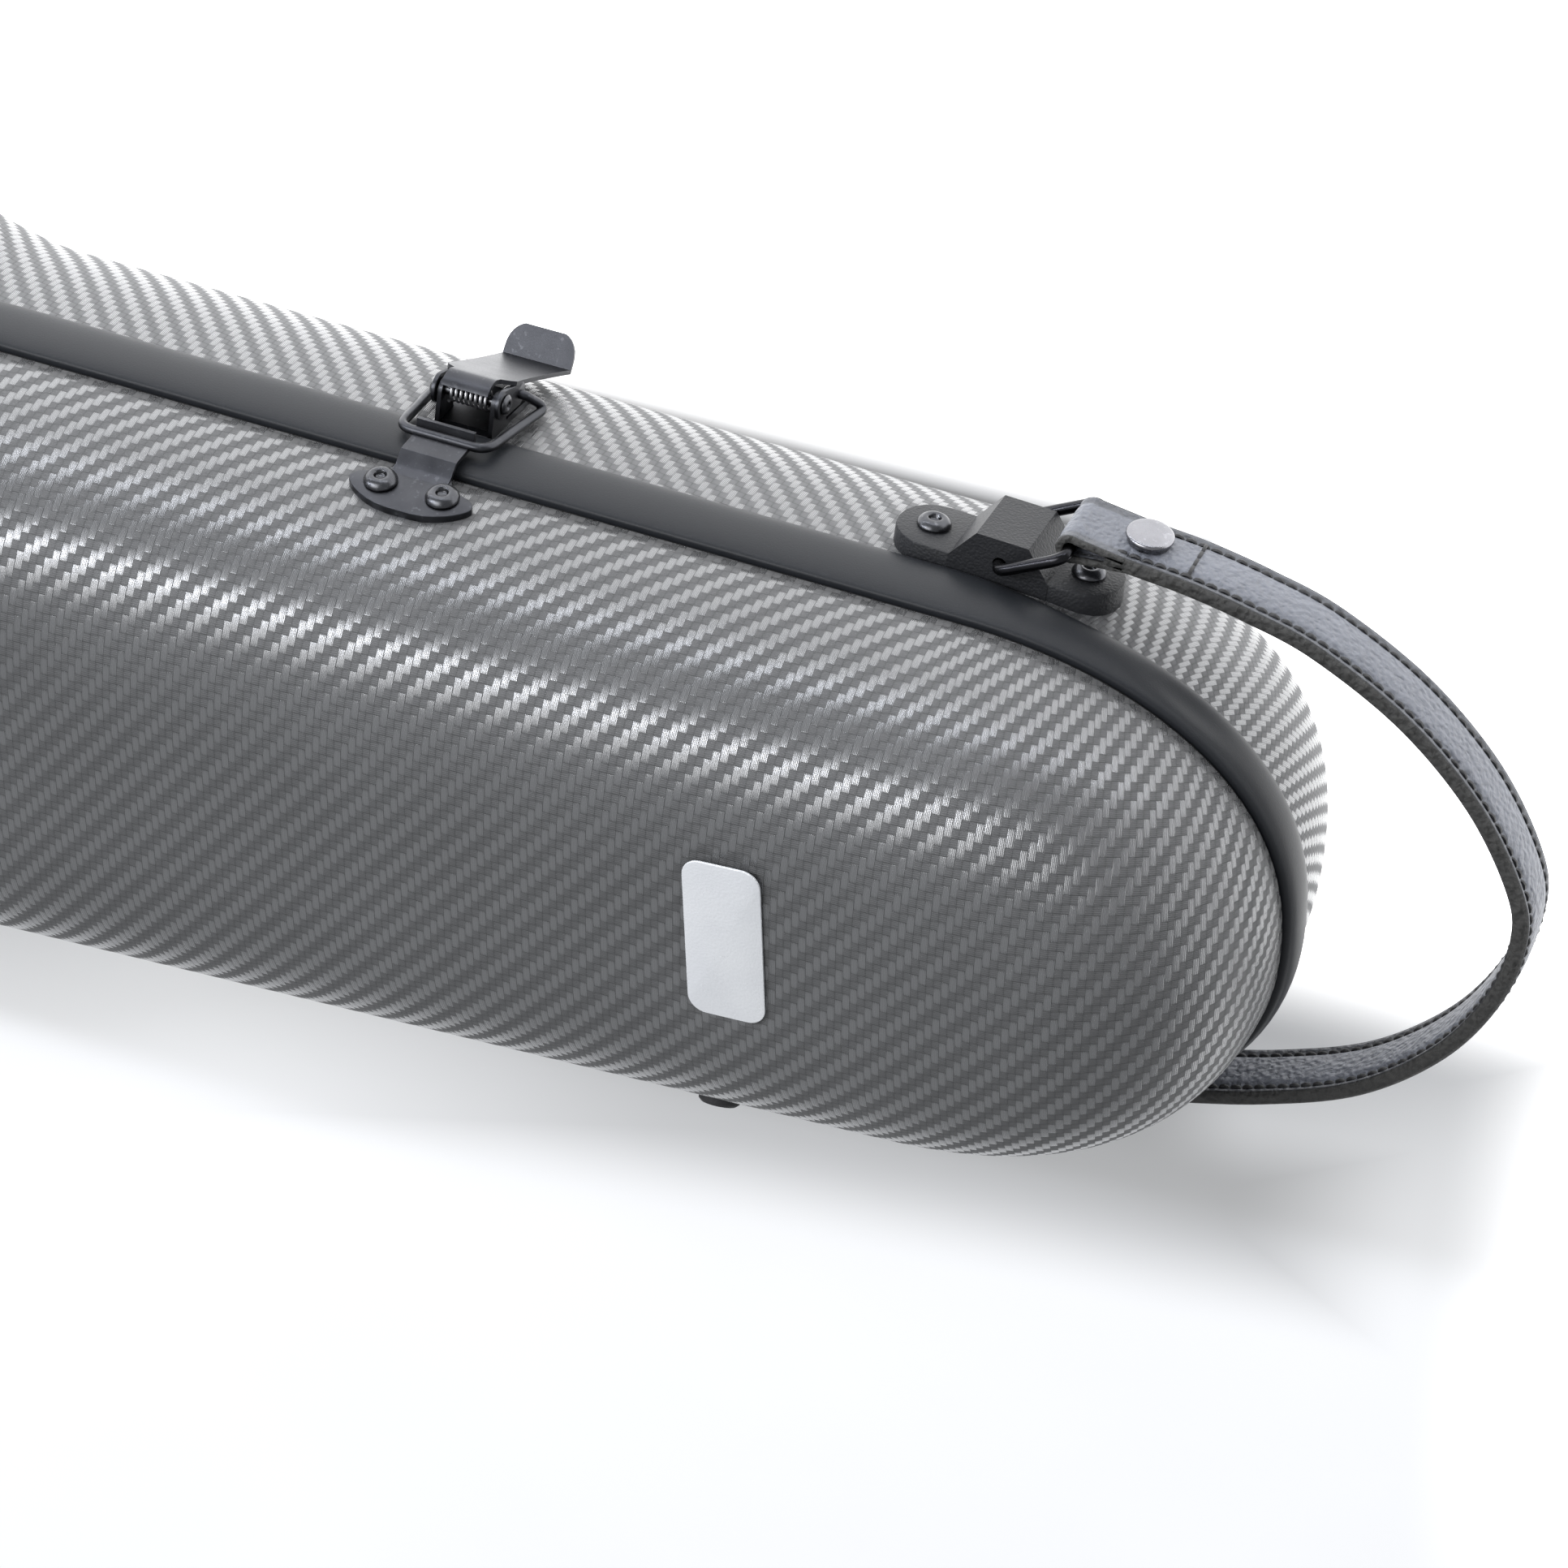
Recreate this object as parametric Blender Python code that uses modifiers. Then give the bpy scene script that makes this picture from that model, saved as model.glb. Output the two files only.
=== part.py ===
"""A shaped violin case with a weave-patterned shell, draw latches and a leather neck strap.

The case lies closed on its flat back: X runs towards the narrow end, Y towards the latch side and Z
towards the lid. The origin is the middle of the back. "Along" is a distance from the narrow tip,
"below" a distance from the parting plane towards the back, and "out" a distance outwards from the wall.
"""

import math

import bmesh
import bpy
from mathutils import Matrix, Vector

# Fits
CLEARANCE = 0.0003
OVERRUN = 0.004
WELD = 0.00001

# Outline of the case, seen from above
CASE_LENGTH = 0.790
NARROW_WIDTH = 0.150
WIDE_WIDTH = 0.262
TIP_LENGTH = 0.0919
BUTT_LENGTH = 0.110
FLARE_FROM_BUTT = 0.415
FLARE_LENGTH = 0.120
FLARE_START = CASE_LENGTH - FLARE_FROM_BUTT
TAPER_SHARE = 0.0441
END_FULLNESS_SHARE = 2.27
END_STEPS = 12
NECK_STEPS = 3
FLARE_STEPS = 6

# Walls of the two shells
SHELL_WALL = 0.0025
BASE_DEPTH = 0.07565
BASE_FLAT_HALF = 0.0171
BASE_ROUND = NARROW_WIDTH / 2 - BASE_FLAT_HALF
BASE_FULLNESS_SHARE = 2.36
LID_DEPTH = 0.0617
LID_FLAT_HALF = 0.0112
LID_ROUND = NARROW_WIDTH / 2 - LID_FLAT_HALF
LID_FULLNESS_SHARE = 2.30
WALL_STEPS = 6
LINING_STEPS = 3

# Rim band, seal and parting
BAND_HEIGHT = 0.0151
BAND_SKIRT = 0.0040
SKIRT_START = 0.055
SKIRT_FULL = 0.100
BAND_PROUD = 0.0029
BAND_LIP = 0.0016
BAND_REACH = 0.0032
BAND_STEPS = 6
SEAL_HEIGHT = 0.0006
SEAL_SETBACK = 0.0004
PARTING = BASE_DEPTH + BAND_HEIGHT
LID_GAP = SEAL_HEIGHT + 2 * CLEARANCE

# Linings, with the instrument's well and the pocket
LINING_GAP = 0.0007
LID_LINING = 0.008
LINING_BELOW = 0.00625
BASE_LINING_TOP = PARTING - LINING_BELOW
WELL_FLOOR = 0.026
WELL_AFTER_FLARE = 0.019
WELL_START = FLARE_START + WELL_AFTER_FLARE
WELL_LENGTH = 0.366
WELL_SIDE = 0.025
WELL_WIDTH = WIDE_WIDTH - 2 * WELL_SIDE
WELL_SHARES = (
    (0.000, 0.00), (0.004, 0.26), (0.030, 0.52), (0.090, 0.74), (0.160, 0.81), (0.240, 0.78),
    (0.320, 0.68), (0.400, 0.58), (0.480, 0.56), (0.560, 0.60), (0.640, 0.76), (0.730, 0.95),
    (0.820, 1.00), (0.910, 0.87), (0.970, 0.62), (0.996, 0.30), (1.000, 0.00),
)
NECK_SLOT_SIDE = 0.045
NECK_SLOT_WIDTH = NARROW_WIDTH - 2 * NECK_SLOT_SIDE
NECK_SLOT_START = 0.150
NECK_SLOT_FLOOR = 0.034
POCKET_SIDE = 0.033
POCKET_WIDTH = NARROW_WIDTH - 2 * POCKET_SIDE
POCKET_START = 0.042
POCKET_LENGTH = 0.092
POCKET_FLOOR = 0.032
POCKET_CORNER = 0.012

# Rivets
RIVET_HEAD = 0.0045
RIVET_RISE = 0.0022
RIVET_STEPS = 12
RIVET_SHARES = (
    (0.00, 0.55), (0.32, 0.55), (0.40, 1.00), (0.62, 1.00),
    (0.90, 0.55), (1.00, 0.20), (1.00, 0.00), (0.00, 0.00),
)

# Draw latches
NECK_LATCH_SHARE = 0.626667
LATCH_FROM_BUTT = 0.148
LATCH_PLACES = (NECK_LATCH_SHARE * FLARE_START, CASE_LENGTH - LATCH_FROM_BUTT)
PIN_BELOW = 0.0235
PIN_OUT = 0.0093
PIN_RADIUS = 0.0014
PIN_HEAD = 0.0028
PIN_HEAD_RISE = 0.0009
BAIL_WIRE = 0.0013
BAIL_BELOW = 0.0065
BAIL_OUT = 0.0063
BAIL_PIVOT_BELOW = 0.0330
BAIL_PIVOT_OUT = 0.0070
BAIL_HALF = 0.0124
BAIL_TAIL_HALF = 0.0148
BAIL_TAIL_BELOW = 0.0385
BAIL_TAIL_OUT = 0.0010
BAIL_END_HALF = 0.0112
BAIL_CORNER = 0.0022
MOUNT_SHEET = 0.0012
MOUNT_HALF = 0.0082
MOUNT_START = 0.0205
MOUNT_END = 0.0440
MOUNT_PLATE = 0.0019
MOUNT_EYE = 0.0030
LEVER_SHEET = 0.0012
LEVER_EYE = 0.0042
LEVER_TAIL_EYE = 0.0033
LEVER_CURL_HALF = 0.0066
LEVER_FLARE_SHARES = ((0.07, 0.70), (0.12, 1.00), (0.50, 0.96), (0.80, 0.98), (1.00, 1.02))
TAB_SHARES = ((0.25, 1.02), (0.60, 1.00), (0.85, 0.88), (1.00, 0.64))
LEVER_BEND_BELOW = 0.0652
LEVER_BEND_OUT = -0.0066
TAB_LENGTH = 0.0100
TAB_RISE_DEG = 50.0
SPRING_WIRE = 0.00040
SPRING_RADIUS = 0.0024
SPRING_TURNS = 8
SPRING_PITCH = 0.00138
SPRING_POINTS = 8
SPRING_LEG = 0.0050
SPRING_TOE = 0.0016

# Keepers on the lid
KEEPER_SHEET = 0.0012
KEEPER_SPACING = 0.0174
KEEPER_HALF = 0.0172
KEEPER_RISE = 0.0115
KEEPER_TOP = 0.0200
KEEPER_FOOT = 0.0040
TONGUE_HALF = 0.0078
HOOK_HALF = 0.0082
HOOK_GAP = 0.0005
HOOK_HEIGHT = 0.0042
KEEPER_SHARES = (
    (0.45, 0.20), (0.50, 0.31), (0.64, 0.40), (0.82, 0.45), (0.94, 0.49), (1.00, 0.56), (0.98, 0.64),
    (0.88, 0.75), (0.70, 0.87), (0.42, 0.96), (0.00, 1.00),
)

# Strap brackets with their rings
BRACKET_FROM_TIP = 0.0877
BRACKET_FROM_BUTT = 0.095
BRACKET_PLACES = (BRACKET_FROM_TIP, CASE_LENGTH - BRACKET_FROM_BUTT)
BRACKET_BELOW = 0.0295
BRACKET_LENGTH = 0.0610
BRACKET_WIDTH = 0.0212
BRACKET_PLATE = 0.0042
BRACKET_RIVETS = 0.0420
BLOCK_FOOT = 0.0270
BLOCK_TOP = 0.0140
BLOCK_OUT = 0.0124
BLOCK_SHIFT = 0.0003
RING_WIRE = 0.0016
RING_BAR_OUT = 0.0060
RING_BAR_SHIFT = 0.0005
RING_HALF = 0.0138
RING_REACH = 0.0203
RING_CORNER = 0.0032
RING_RISE_DEG = 31.0

# Leather neck strap, from the latch side ring round the narrow end to the hinge side ring. Each point of
# its route is a distance along and a shift towards +Y from its share of half the narrow width.
STRAP_WIDTH = 0.0200
STRAP_THICKNESS = 0.0046
STRAP_ROUTE = (
    (0.0610, 0.0144), (0.0482, 0.0128), (0.0370, 0.0111), (0.0220, 0.0075), (0.0035, 0.0012),
    (-0.0205, 0.0014), (-0.0400, 0.0040), (-0.0525, 0.0045), (-0.0555, 0.0040), (-0.0510, -0.0015),
    (-0.0385, -0.0010), (-0.0180, 0.0025), (0.0080, 0.0055), (0.0390, -0.0040),
)
STRAP_ACROSS_SHARES = (1.0, 1.0, 1.0, 1.0, 1.0, 0.8, 0.5, 0.2, 0.0, -0.2, -0.5, -0.8, -1.0, -1.0)
STRAP_SPACING = 0.0075
EYE_OPEN_DEG = 50.0
SNAP_RADIUS = 0.0062
SNAP_HEIGHT = 0.0024
SNAP_SETBACK = 0.0170
SNAP_SEAT = 0.0010
SNAP_SHARES = ((0.00, 1.00), (0.85, 1.00), (1.00, 0.75), (1.00, 0.35), (0.90, 0.00), (0.00, 0.00))

# Hinges
HINGES_FROM_BUTT = (0.270, 0.154)
HINGE_PLACES = [CASE_LENGTH - back for back in HINGES_FROM_BUTT]
HINGE_LENGTH = 0.0440
HINGE_MIDDLE = 0.0154
HINGE_SHEET = 0.0012
KNUCKLE = 0.0030
HINGE_PIN = 0.0014
HINGE_BASE_LEAF = 0.0400
HINGE_LID_LEAF = 0.0260
HINGE_AXIS_OUT = BAND_PROUD + CLEARANCE + KNUCKLE

# Carrying handle
HANDLE_FROM_BUTT = 0.230
HANDLE_PLACE = CASE_LENGTH - HANDLE_FROM_BUTT
HANDLE_SPAN = 0.100
HANDLE_DROP = 0.0400
HANDLE_WIRE = 0.0022
GRIP_RADIUS = 0.0085
GRIP_LENGTH = 0.070
HANDLE_BELOW = 0.0320
HANDLE_OUT = 0.0120
HANDLE_CORNER = 0.0033
HOLDER_WIDTH = 0.0150
HOLDER_HEIGHT = 0.0240
HOLDER_OUT = 0.0162
HOLDER_CORNER = 0.0060
HOLDER_CAP = 0.0036

# Feet on the hinge side
FOOT_FROM_TIP = 0.139
FOOT_FROM_BUTT = 0.212
FOOT_PLACES = (FOOT_FROM_TIP, CASE_LENGTH - FOOT_FROM_BUTT)
FOOT_RADIUS = 0.0056
FOOT_HEIGHT = 0.0024
FOOT_ABOVE = 0.0350
FOOT_BELOW = 0.0480

# Badge plate on the lid, left bare
BADGE_PLACE = 0.1268
BADGE_SHIFT = 0.0068
BADGE_LENGTH = 0.0480
BADGE_WIDTH = 0.0212
BADGE_TURN_DEG = 2.5
BADGE_CORNER = 0.0050
BADGE_RISE = 0.0010

# Turning bow holders in the lid
HOLD_FROM_BUTT = 0.230
HOLD_ACROSS = 0.030
HOLD_PLACE = CASE_LENGTH - HOLD_FROM_BUTT
HOLD_PLACES = ((HOLD_PLACE, HOLD_ACROSS), (HOLD_PLACE, -HOLD_ACROSS))
HOLD_WING_LENGTH = 0.040
HOLD_WING_WIDTH = 0.011
HOLD_WING_HEIGHT = 0.0045
HOLD_STEM_RADIUS = 0.0044
HOLD_STEM_HEIGHT = 0.0100

SECTION = Matrix(((0, 0, 1, 0), (0, 1, 0, 0), (-1, 0, 0, 0), (0, 0, 0, 1)))
LEVEL = Matrix.Identity(4)
MIRROR = Matrix.Scale(-1, 4, (0, 1, 0))


def clear_scene():
    for old in list(bpy.data.objects):
        bpy.data.objects.remove(old, do_unlink=True)


def new_collection(name):
    group = bpy.data.collections.new(name)
    bpy.context.scene.collection.children.link(group)
    return group


def material(name, color, roughness, metallic=0.0):
    made = bpy.data.materials.new(name)
    made.use_nodes = True
    shader = made.node_tree.nodes["Principled BSDF"]
    shader.inputs["Base Color"].default_value = (*color, 1)
    shader.inputs["Roughness"].default_value = roughness
    shader.inputs["Metallic"].default_value = metallic
    made.diffuse_color = (*color, 1)
    return made


def place(name, data, look, parent=None, group=None):
    """Links one object that shows the data, below its parent."""
    made = bpy.data.objects.new(name, data)
    (group or parts).objects.link(made)
    if look:
        data.materials.append(look)
    made.parent = parent
    return made


def cutter(name, data, parent=None):
    made = place(name, data, None, parent, cutters)
    made.hide_render = True
    made.display_type = "WIRE"
    return made


def empty(name, matrix, parent=None):
    made = bpy.data.objects.new(name, None)
    parts.objects.link(made)
    made.parent = parent
    made.matrix_local = matrix
    return made


def finish(shape, name="shape"):
    mesh = bpy.data.meshes.new(name)
    shape.to_mesh(mesh)
    shape.free()
    return mesh


def smooth(made, angle_deg=35.0):
    made.data.shade_smooth()
    made.data.set_sharp_from_angle(angle=math.radians(angle_deg))


def boolean(target, other, operation="DIFFERENCE"):
    step = target.modifiers.new(operation.lower(), "BOOLEAN")
    step.operation = operation
    step.solver = "EXACT"
    step.object = other


def bevel(target, width, segments=2):
    step = target.modifiers.new("edges", "BEVEL")
    step.width = width
    step.segments = segments
    step.limit_method = "ANGLE"


def solidify(target, thickness, offset=0.0):
    step = target.modifiers.new("sheet", "SOLIDIFY")
    step.thickness = thickness
    step.offset = offset
    step.use_even_offset = True


def mirror_half(target):
    step = target.modifiers.new("other half", "MIRROR")
    step.use_axis = (False, True, False)
    step.merge_threshold = WELD


def applied(target):
    """Replaces the object's mesh by what its modifiers make of it."""
    bpy.context.view_layer.update()
    graph = bpy.context.evaluated_depsgraph_get()
    mesh = bpy.data.meshes.new_from_object(target.evaluated_get(graph))
    target.modifiers.clear()
    target.data = mesh
    return target


def mirrored(source, name):
    """A copy of the piece on the other side of the case's middle plane."""
    bpy.context.view_layer.update()
    graph = bpy.context.evaluated_depsgraph_get()
    mesh = bpy.data.meshes.new_from_object(source.evaluated_get(graph))
    mesh.transform(MIRROR @ source.matrix_world)
    mesh.flip_normals()
    made = bpy.data.objects.new(name, mesh)
    parts.objects.link(made)
    return made


def arc(centre, radius, start_deg, end_deg, steps):
    turns = [math.radians(start_deg + (end_deg - start_deg) * k / steps) for k in range(steps + 1)]
    return [(centre[0] + radius * math.cos(t), centre[1] + radius * math.sin(t)) for t in turns]


def round_hole(centre, radius, steps=12):
    return arc(centre, radius, 0, 360 - 360 / steps, steps - 1)


def rounded_box_outline(length, width, corner, steps=4):
    points = []
    for quarter, (sx, sy) in enumerate(((1, 1), (-1, 1), (-1, -1), (1, -1))):
        centre = (sx * (length / 2 - corner), sy * (width / 2 - corner))
        points += arc(centre, corner, 90 * quarter, 90 * quarter + 90, steps)
    return points


def flat_mesh(outline, thickness, holes=(), turn=LEVEL):
    """A filled outline with holes, as thick as asked and centred on its thickness."""
    curve = bpy.data.curves.new("outline", "CURVE")
    curve.dimensions = "2D"
    curve.fill_mode = "BOTH"
    curve.extrude = thickness / 2
    for loop in (outline, *holes):
        spline = curve.splines.new("POLY")
        spline.points.add(len(loop) - 1)
        for point, (x, y) in zip(spline.points, loop):
            point.co = (x, y, 0, 1)
        spline.use_cyclic_u = True
    holder = bpy.data.objects.new("outline", curve)
    mesh = bpy.data.meshes.new_from_object(holder)
    bpy.data.objects.remove(holder)
    bpy.data.curves.remove(curve)
    shape = bmesh.new()
    shape.from_mesh(mesh)
    bmesh.ops.remove_doubles(shape, verts=shape.verts, dist=WELD)
    bmesh.ops.transform(shape, matrix=turn, verts=shape.verts)
    bmesh.ops.recalc_face_normals(shape, faces=shape.faces)
    shape.to_mesh(mesh)
    shape.free()
    return mesh


def rod_mesh(radius, length, turn=LEVEL, steps=18):
    """A round bar, centred, along Z before it is turned."""
    shape = bmesh.new()
    bmesh.ops.create_cone(
        shape, cap_ends=True, segments=steps, radius1=radius, radius2=radius, depth=length, matrix=turn
    )
    return finish(shape)


def box_mesh(size):
    shape = bmesh.new()
    bmesh.ops.create_cube(shape, size=1, matrix=Matrix.Diagonal((*size, 1)))
    return finish(shape)


def turned(name, profile, look, parent=None):
    """A shape turned about its own Z from a half outline of radius and height."""
    shape = bmesh.new()
    rows = [shape.verts.new((radius, 0, height)) for radius, height in profile]
    for one, other in zip(rows, rows[1:]):
        shape.edges.new((one, other))
    made = place(name, finish(shape), look, parent)
    spin = made.modifiers.new("turned", "SCREW")
    spin.steps = RIVET_STEPS
    spin.render_steps = RIVET_STEPS
    spin.use_merge_vertices = True
    spin.merge_threshold = WELD
    return made


def wire(name, points, radius, look, parent=None, closed=False, resolution=2):
    """A round wire through the points, with filled ends."""
    curve = bpy.data.curves.new(name, "CURVE")
    curve.dimensions = "3D"
    curve.bevel_depth = radius
    curve.bevel_resolution = resolution
    curve.use_fill_caps = True
    spline = curve.splines.new("POLY")
    spline.points.add(len(points) - 1)
    for point, place_of in zip(spline.points, points):
        point.co = (*place_of, 1)
    spline.use_cyclic_u = closed
    return place(name, curve, look, parent)


def rounded_path(corners, radius, steps=3, closed=False):
    """The corner points with each bend replaced by an arc that keeps the given radius."""
    path = []
    count = len(corners)
    for k, corner in enumerate(corners):
        here = Vector(corner)
        if not closed and k in (0, count - 1):
            path.append(here)
            continue
        before = (Vector(corners[k - 1]) - here).normalized()
        after = (Vector(corners[(k + 1) % count]) - here).normalized()
        half = before.angle(after) / 2
        middle = here + (before + after).normalized() * radius / math.sin(half)
        first = here + before * radius / math.tan(half) - middle
        last = here + after * radius / math.tan(half) - middle
        sweep = first.angle(last)
        for step in range(steps + 1):
            share = step / steps
            mixed = first * math.sin((1 - share) * sweep) + last * math.sin(share * sweep)
            path.append(middle + mixed / math.sin(sweep))
    return path


def taper(along):
    return 1 + TAPER_SHARE * (along - TIP_LENGTH) / (NARROW_WIDTH / 2)


def round_share(near):
    return max(0.0, 1 - near**END_FULLNESS_SHARE) ** (1 / END_FULLNESS_SHARE)


def half_width(along, inset=0.0):
    """Half the case's width at a place along it, for the outline drawn in by the inset."""
    narrow = NARROW_WIDTH / 2 - inset
    wide = WIDE_WIDTH / 2 - inset
    if along < TIP_LENGTH:
        return narrow * round_share((TIP_LENGTH - along) / (TIP_LENGTH - inset)) * taper(along)
    if along <= FLARE_START:
        return narrow + TAPER_SHARE * (along - TIP_LENGTH)
    if along < FLARE_START + FLARE_LENGTH:
        start = narrow + TAPER_SHARE * (FLARE_START - TIP_LENGTH)
        t = (along - FLARE_START) / FLARE_LENGTH
        lean = TAPER_SHARE * FLARE_LENGTH * (t**3 - 2 * t**2 + t)
        return start + (wide - start) * (3 * t**2 - 2 * t**3) + lean
    if along <= CASE_LENGTH - BUTT_LENGTH:
        return wide
    return wide * round_share((along - CASE_LENGTH + BUTT_LENGTH) / (BUTT_LENGTH - inset))


def stations(inset):
    """Places along the case where the outline has a point, close together round its two ends."""
    bend = [math.cos(math.pi / 2 * k / END_STEPS) ** (2 / END_FULLNESS_SHARE) for k in range(END_STEPS)]
    tip = [TIP_LENGTH - (TIP_LENGTH - inset) * share for share in bend]
    neck = [TIP_LENGTH + (FLARE_START - TIP_LENGTH) * k / NECK_STEPS for k in range(NECK_STEPS)]
    flare = [FLARE_START + FLARE_LENGTH * k / FLARE_STEPS for k in range(FLARE_STEPS + 1)]
    butt_start = CASE_LENGTH - BUTT_LENGTH
    butt = [butt_start] + [butt_start + (BUTT_LENGTH - inset) * share for share in reversed(bend)]
    return tip + neck + flare + butt


def skirt(along):
    """How far the band reaches further down than at the tip, at a place along the case."""
    share = (min(along, CASE_LENGTH - along) - SKIRT_START) / (SKIRT_FULL - SKIRT_START)
    share = min(1.0, max(0.0, share))
    return BAND_SKIRT * (3 * share**2 - 2 * share**3)


def half_ring(inset, height, skirt_share=0.0):
    """One level line of the case's latch side, from the narrow tip to the middle of the wide end."""
    line = []
    for along in stations(inset):
        level = height - skirt_share * skirt(along)
        line.append(Vector((CASE_LENGTH / 2 - along, half_width(along, inset), level)))
    return line


def wall_section(depth, round_width, fullness, skin, steps):
    """(inset, drop) pairs along one curved wall, for the surface that lies a skin inside the outer one."""
    pairs = []
    for step in range(steps + 1):
        angle = math.pi / 2 * step / steps
        inset = skin + (round_width - skin) * (1 - math.cos(angle) ** (2 / fullness))
        pairs.append((inset, (depth - skin) * math.sin(angle) ** (2 / fullness)))
    return pairs


def base_rings(skin, top, steps=WALL_STEPS):
    section = wall_section(BASE_DEPTH, BASE_ROUND, BASE_FULLNESS_SHARE, skin, steps)
    return [half_ring(skin, top)] + [half_ring(inset, BASE_DEPTH - drop) for inset, drop in section]


def lid_rings(skin, bottom_gap, steps=WALL_STEPS):
    """Level lines of the lid's outer surface, or of one a skin inside it, from its edge to its flat top."""
    edge = PARTING + bottom_gap
    section = wall_section(LID_DEPTH - bottom_gap, LID_ROUND, LID_FULLNESS_SHARE, skin, steps)
    return [half_ring(inset, edge + drop) for inset, drop in section]


def wall_inset(below):
    """How far the base wall has drawn in at a distance below the parting plane."""
    share = max(0.0, below - BAND_HEIGHT) / BASE_DEPTH
    rise = share ** (BASE_FULLNESS_SHARE / 2)
    return BASE_ROUND * (1 - (1 - rise**2) ** (1 / BASE_FULLNESS_SHARE))


def lid_inset(above):
    """How far the lid wall has drawn in at a distance above the parting plane."""
    rise = (max(0.0, above) / LID_DEPTH) ** (LID_FULLNESS_SHARE / 2)
    return LID_ROUND * (1 - (1 - rise**2) ** (1 / LID_FULLNESS_SHARE))


def loft(rings, cap_first=False, cap_last=False, ring_closed=False):
    """Faces between level lines that are given from the top down, with flat ends where asked."""
    shape = bmesh.new()
    rows = [[shape.verts.new(point) for point in ring] for ring in rings]
    pairs = list(zip(rows, rows[1:]))
    if ring_closed:
        pairs.append((rows[-1], rows[0]))
    for one, other in pairs:
        for a, b, c, d in zip(one, one[1:], other[1:], other):
            shape.faces.new((b, a, d, c))
    if cap_first:
        shape.faces.new(rows[0])
    if cap_last:
        shape.faces.new(list(reversed(rows[-1])))
    return shape


def wall_frame(along, reach, below=0.0):
    """A frame on the latch side wall: X towards the tip along the wall, Y outwards, Z towards the lid."""
    ahead = Vector((CASE_LENGTH / 2 - along + reach, half_width(along - reach), 0))
    behind = Vector((CASE_LENGTH / 2 - along - reach, half_width(along + reach), 0))
    run = (ahead - behind).normalized()
    spot = Matrix.Translation((CASE_LENGTH / 2 - along, half_width(along), PARTING - below))
    return spot @ Matrix.Rotation(math.atan2(run.y, run.x), 4, "Z")


def envelopes():
    """Solids of the whole outside of base, band and lid, a clearance larger, that seat what sits on them."""
    skin = -CLEARANCE
    proud = -BAND_PROUD - CLEARANCE
    band_rings = [
        half_ring(proud, PARTING + CLEARANCE),
        half_ring(proud, BASE_DEPTH, 1.0),
        half_ring(BAND_REACH, BASE_DEPTH, 1.0),
    ]
    base = cutter("base_envelope", finish(loft(base_rings(skin, PARTING), True, True)))
    band = cutter("band_envelope", finish(loft(band_rings, True, True)))
    lid = cutter("lid_envelope", finish(loft(lid_rings(skin, LID_GAP - CLEARANCE)[::-1], True, True)))
    for made in (base, band, lid):
        mirror_half(made)
    return base, band, lid


def base_shell():
    top = PARTING - BAND_LIP - CLEARANCE
    made = place("base_shell", finish(loft(base_rings(0.0, top), cap_last=True)), looks["shell"])
    mirror_half(made)
    solidify(made, SHELL_WALL, -1.0)
    smooth(made)


def lid_shell():
    rings = lid_rings(0.0, LID_GAP)
    made = place("lid_shell", finish(loft(rings, cap_last=True)), looks["shell"])
    made.data.flip_normals()
    mirror_half(made)
    solidify(made, SHELL_WALL, -1.0)
    smooth(made)


def rim_band():
    """The rounded band that wraps the base wall's edge and turns in over its top."""
    lip_under = PARTING - BAND_LIP
    middle = (PARTING + BASE_DEPTH + CLEARANCE) / 2
    half = (PARTING - BASE_DEPTH - CLEARANCE) / 2
    profile = [(-CLEARANCE, lip_under, 0.0), (BAND_REACH, lip_under, 0.0), (BAND_REACH, PARTING, 0.0)]
    for step in range(BAND_STEPS + 1):
        angle = math.pi / 2 - math.pi * step / BAND_STEPS
        bulge = (BAND_PROUD - 2 * CLEARANCE) * abs(math.cos(angle)) ** (2 / END_FULLNESS_SHARE)
        lowered = (1 - math.sin(angle)) / 2
        profile.append((-2 * CLEARANCE - bulge, middle + half * math.sin(angle), lowered))
    profile.append((-CLEARANCE, BASE_DEPTH + CLEARANCE, 1.0))
    rings = [half_ring(*spot) for spot in profile]
    made = place("rim_band", finish(loft(rings, ring_closed=True)), looks["band"])
    mirror_half(made)
    smooth(made)


def rim_seal():
    low = PARTING + CLEARANCE
    high = low + SEAL_HEIGHT
    inner = SHELL_WALL + SEAL_SETBACK
    rings = [
        half_ring(SEAL_SETBACK, low),
        half_ring(SEAL_SETBACK, high),
        half_ring(inner, high),
        half_ring(inner, low),
    ]
    made = place("rim_seal", finish(loft(rings, ring_closed=True)), looks["seal"])
    made.data.flip_normals()
    mirror_half(made)


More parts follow.
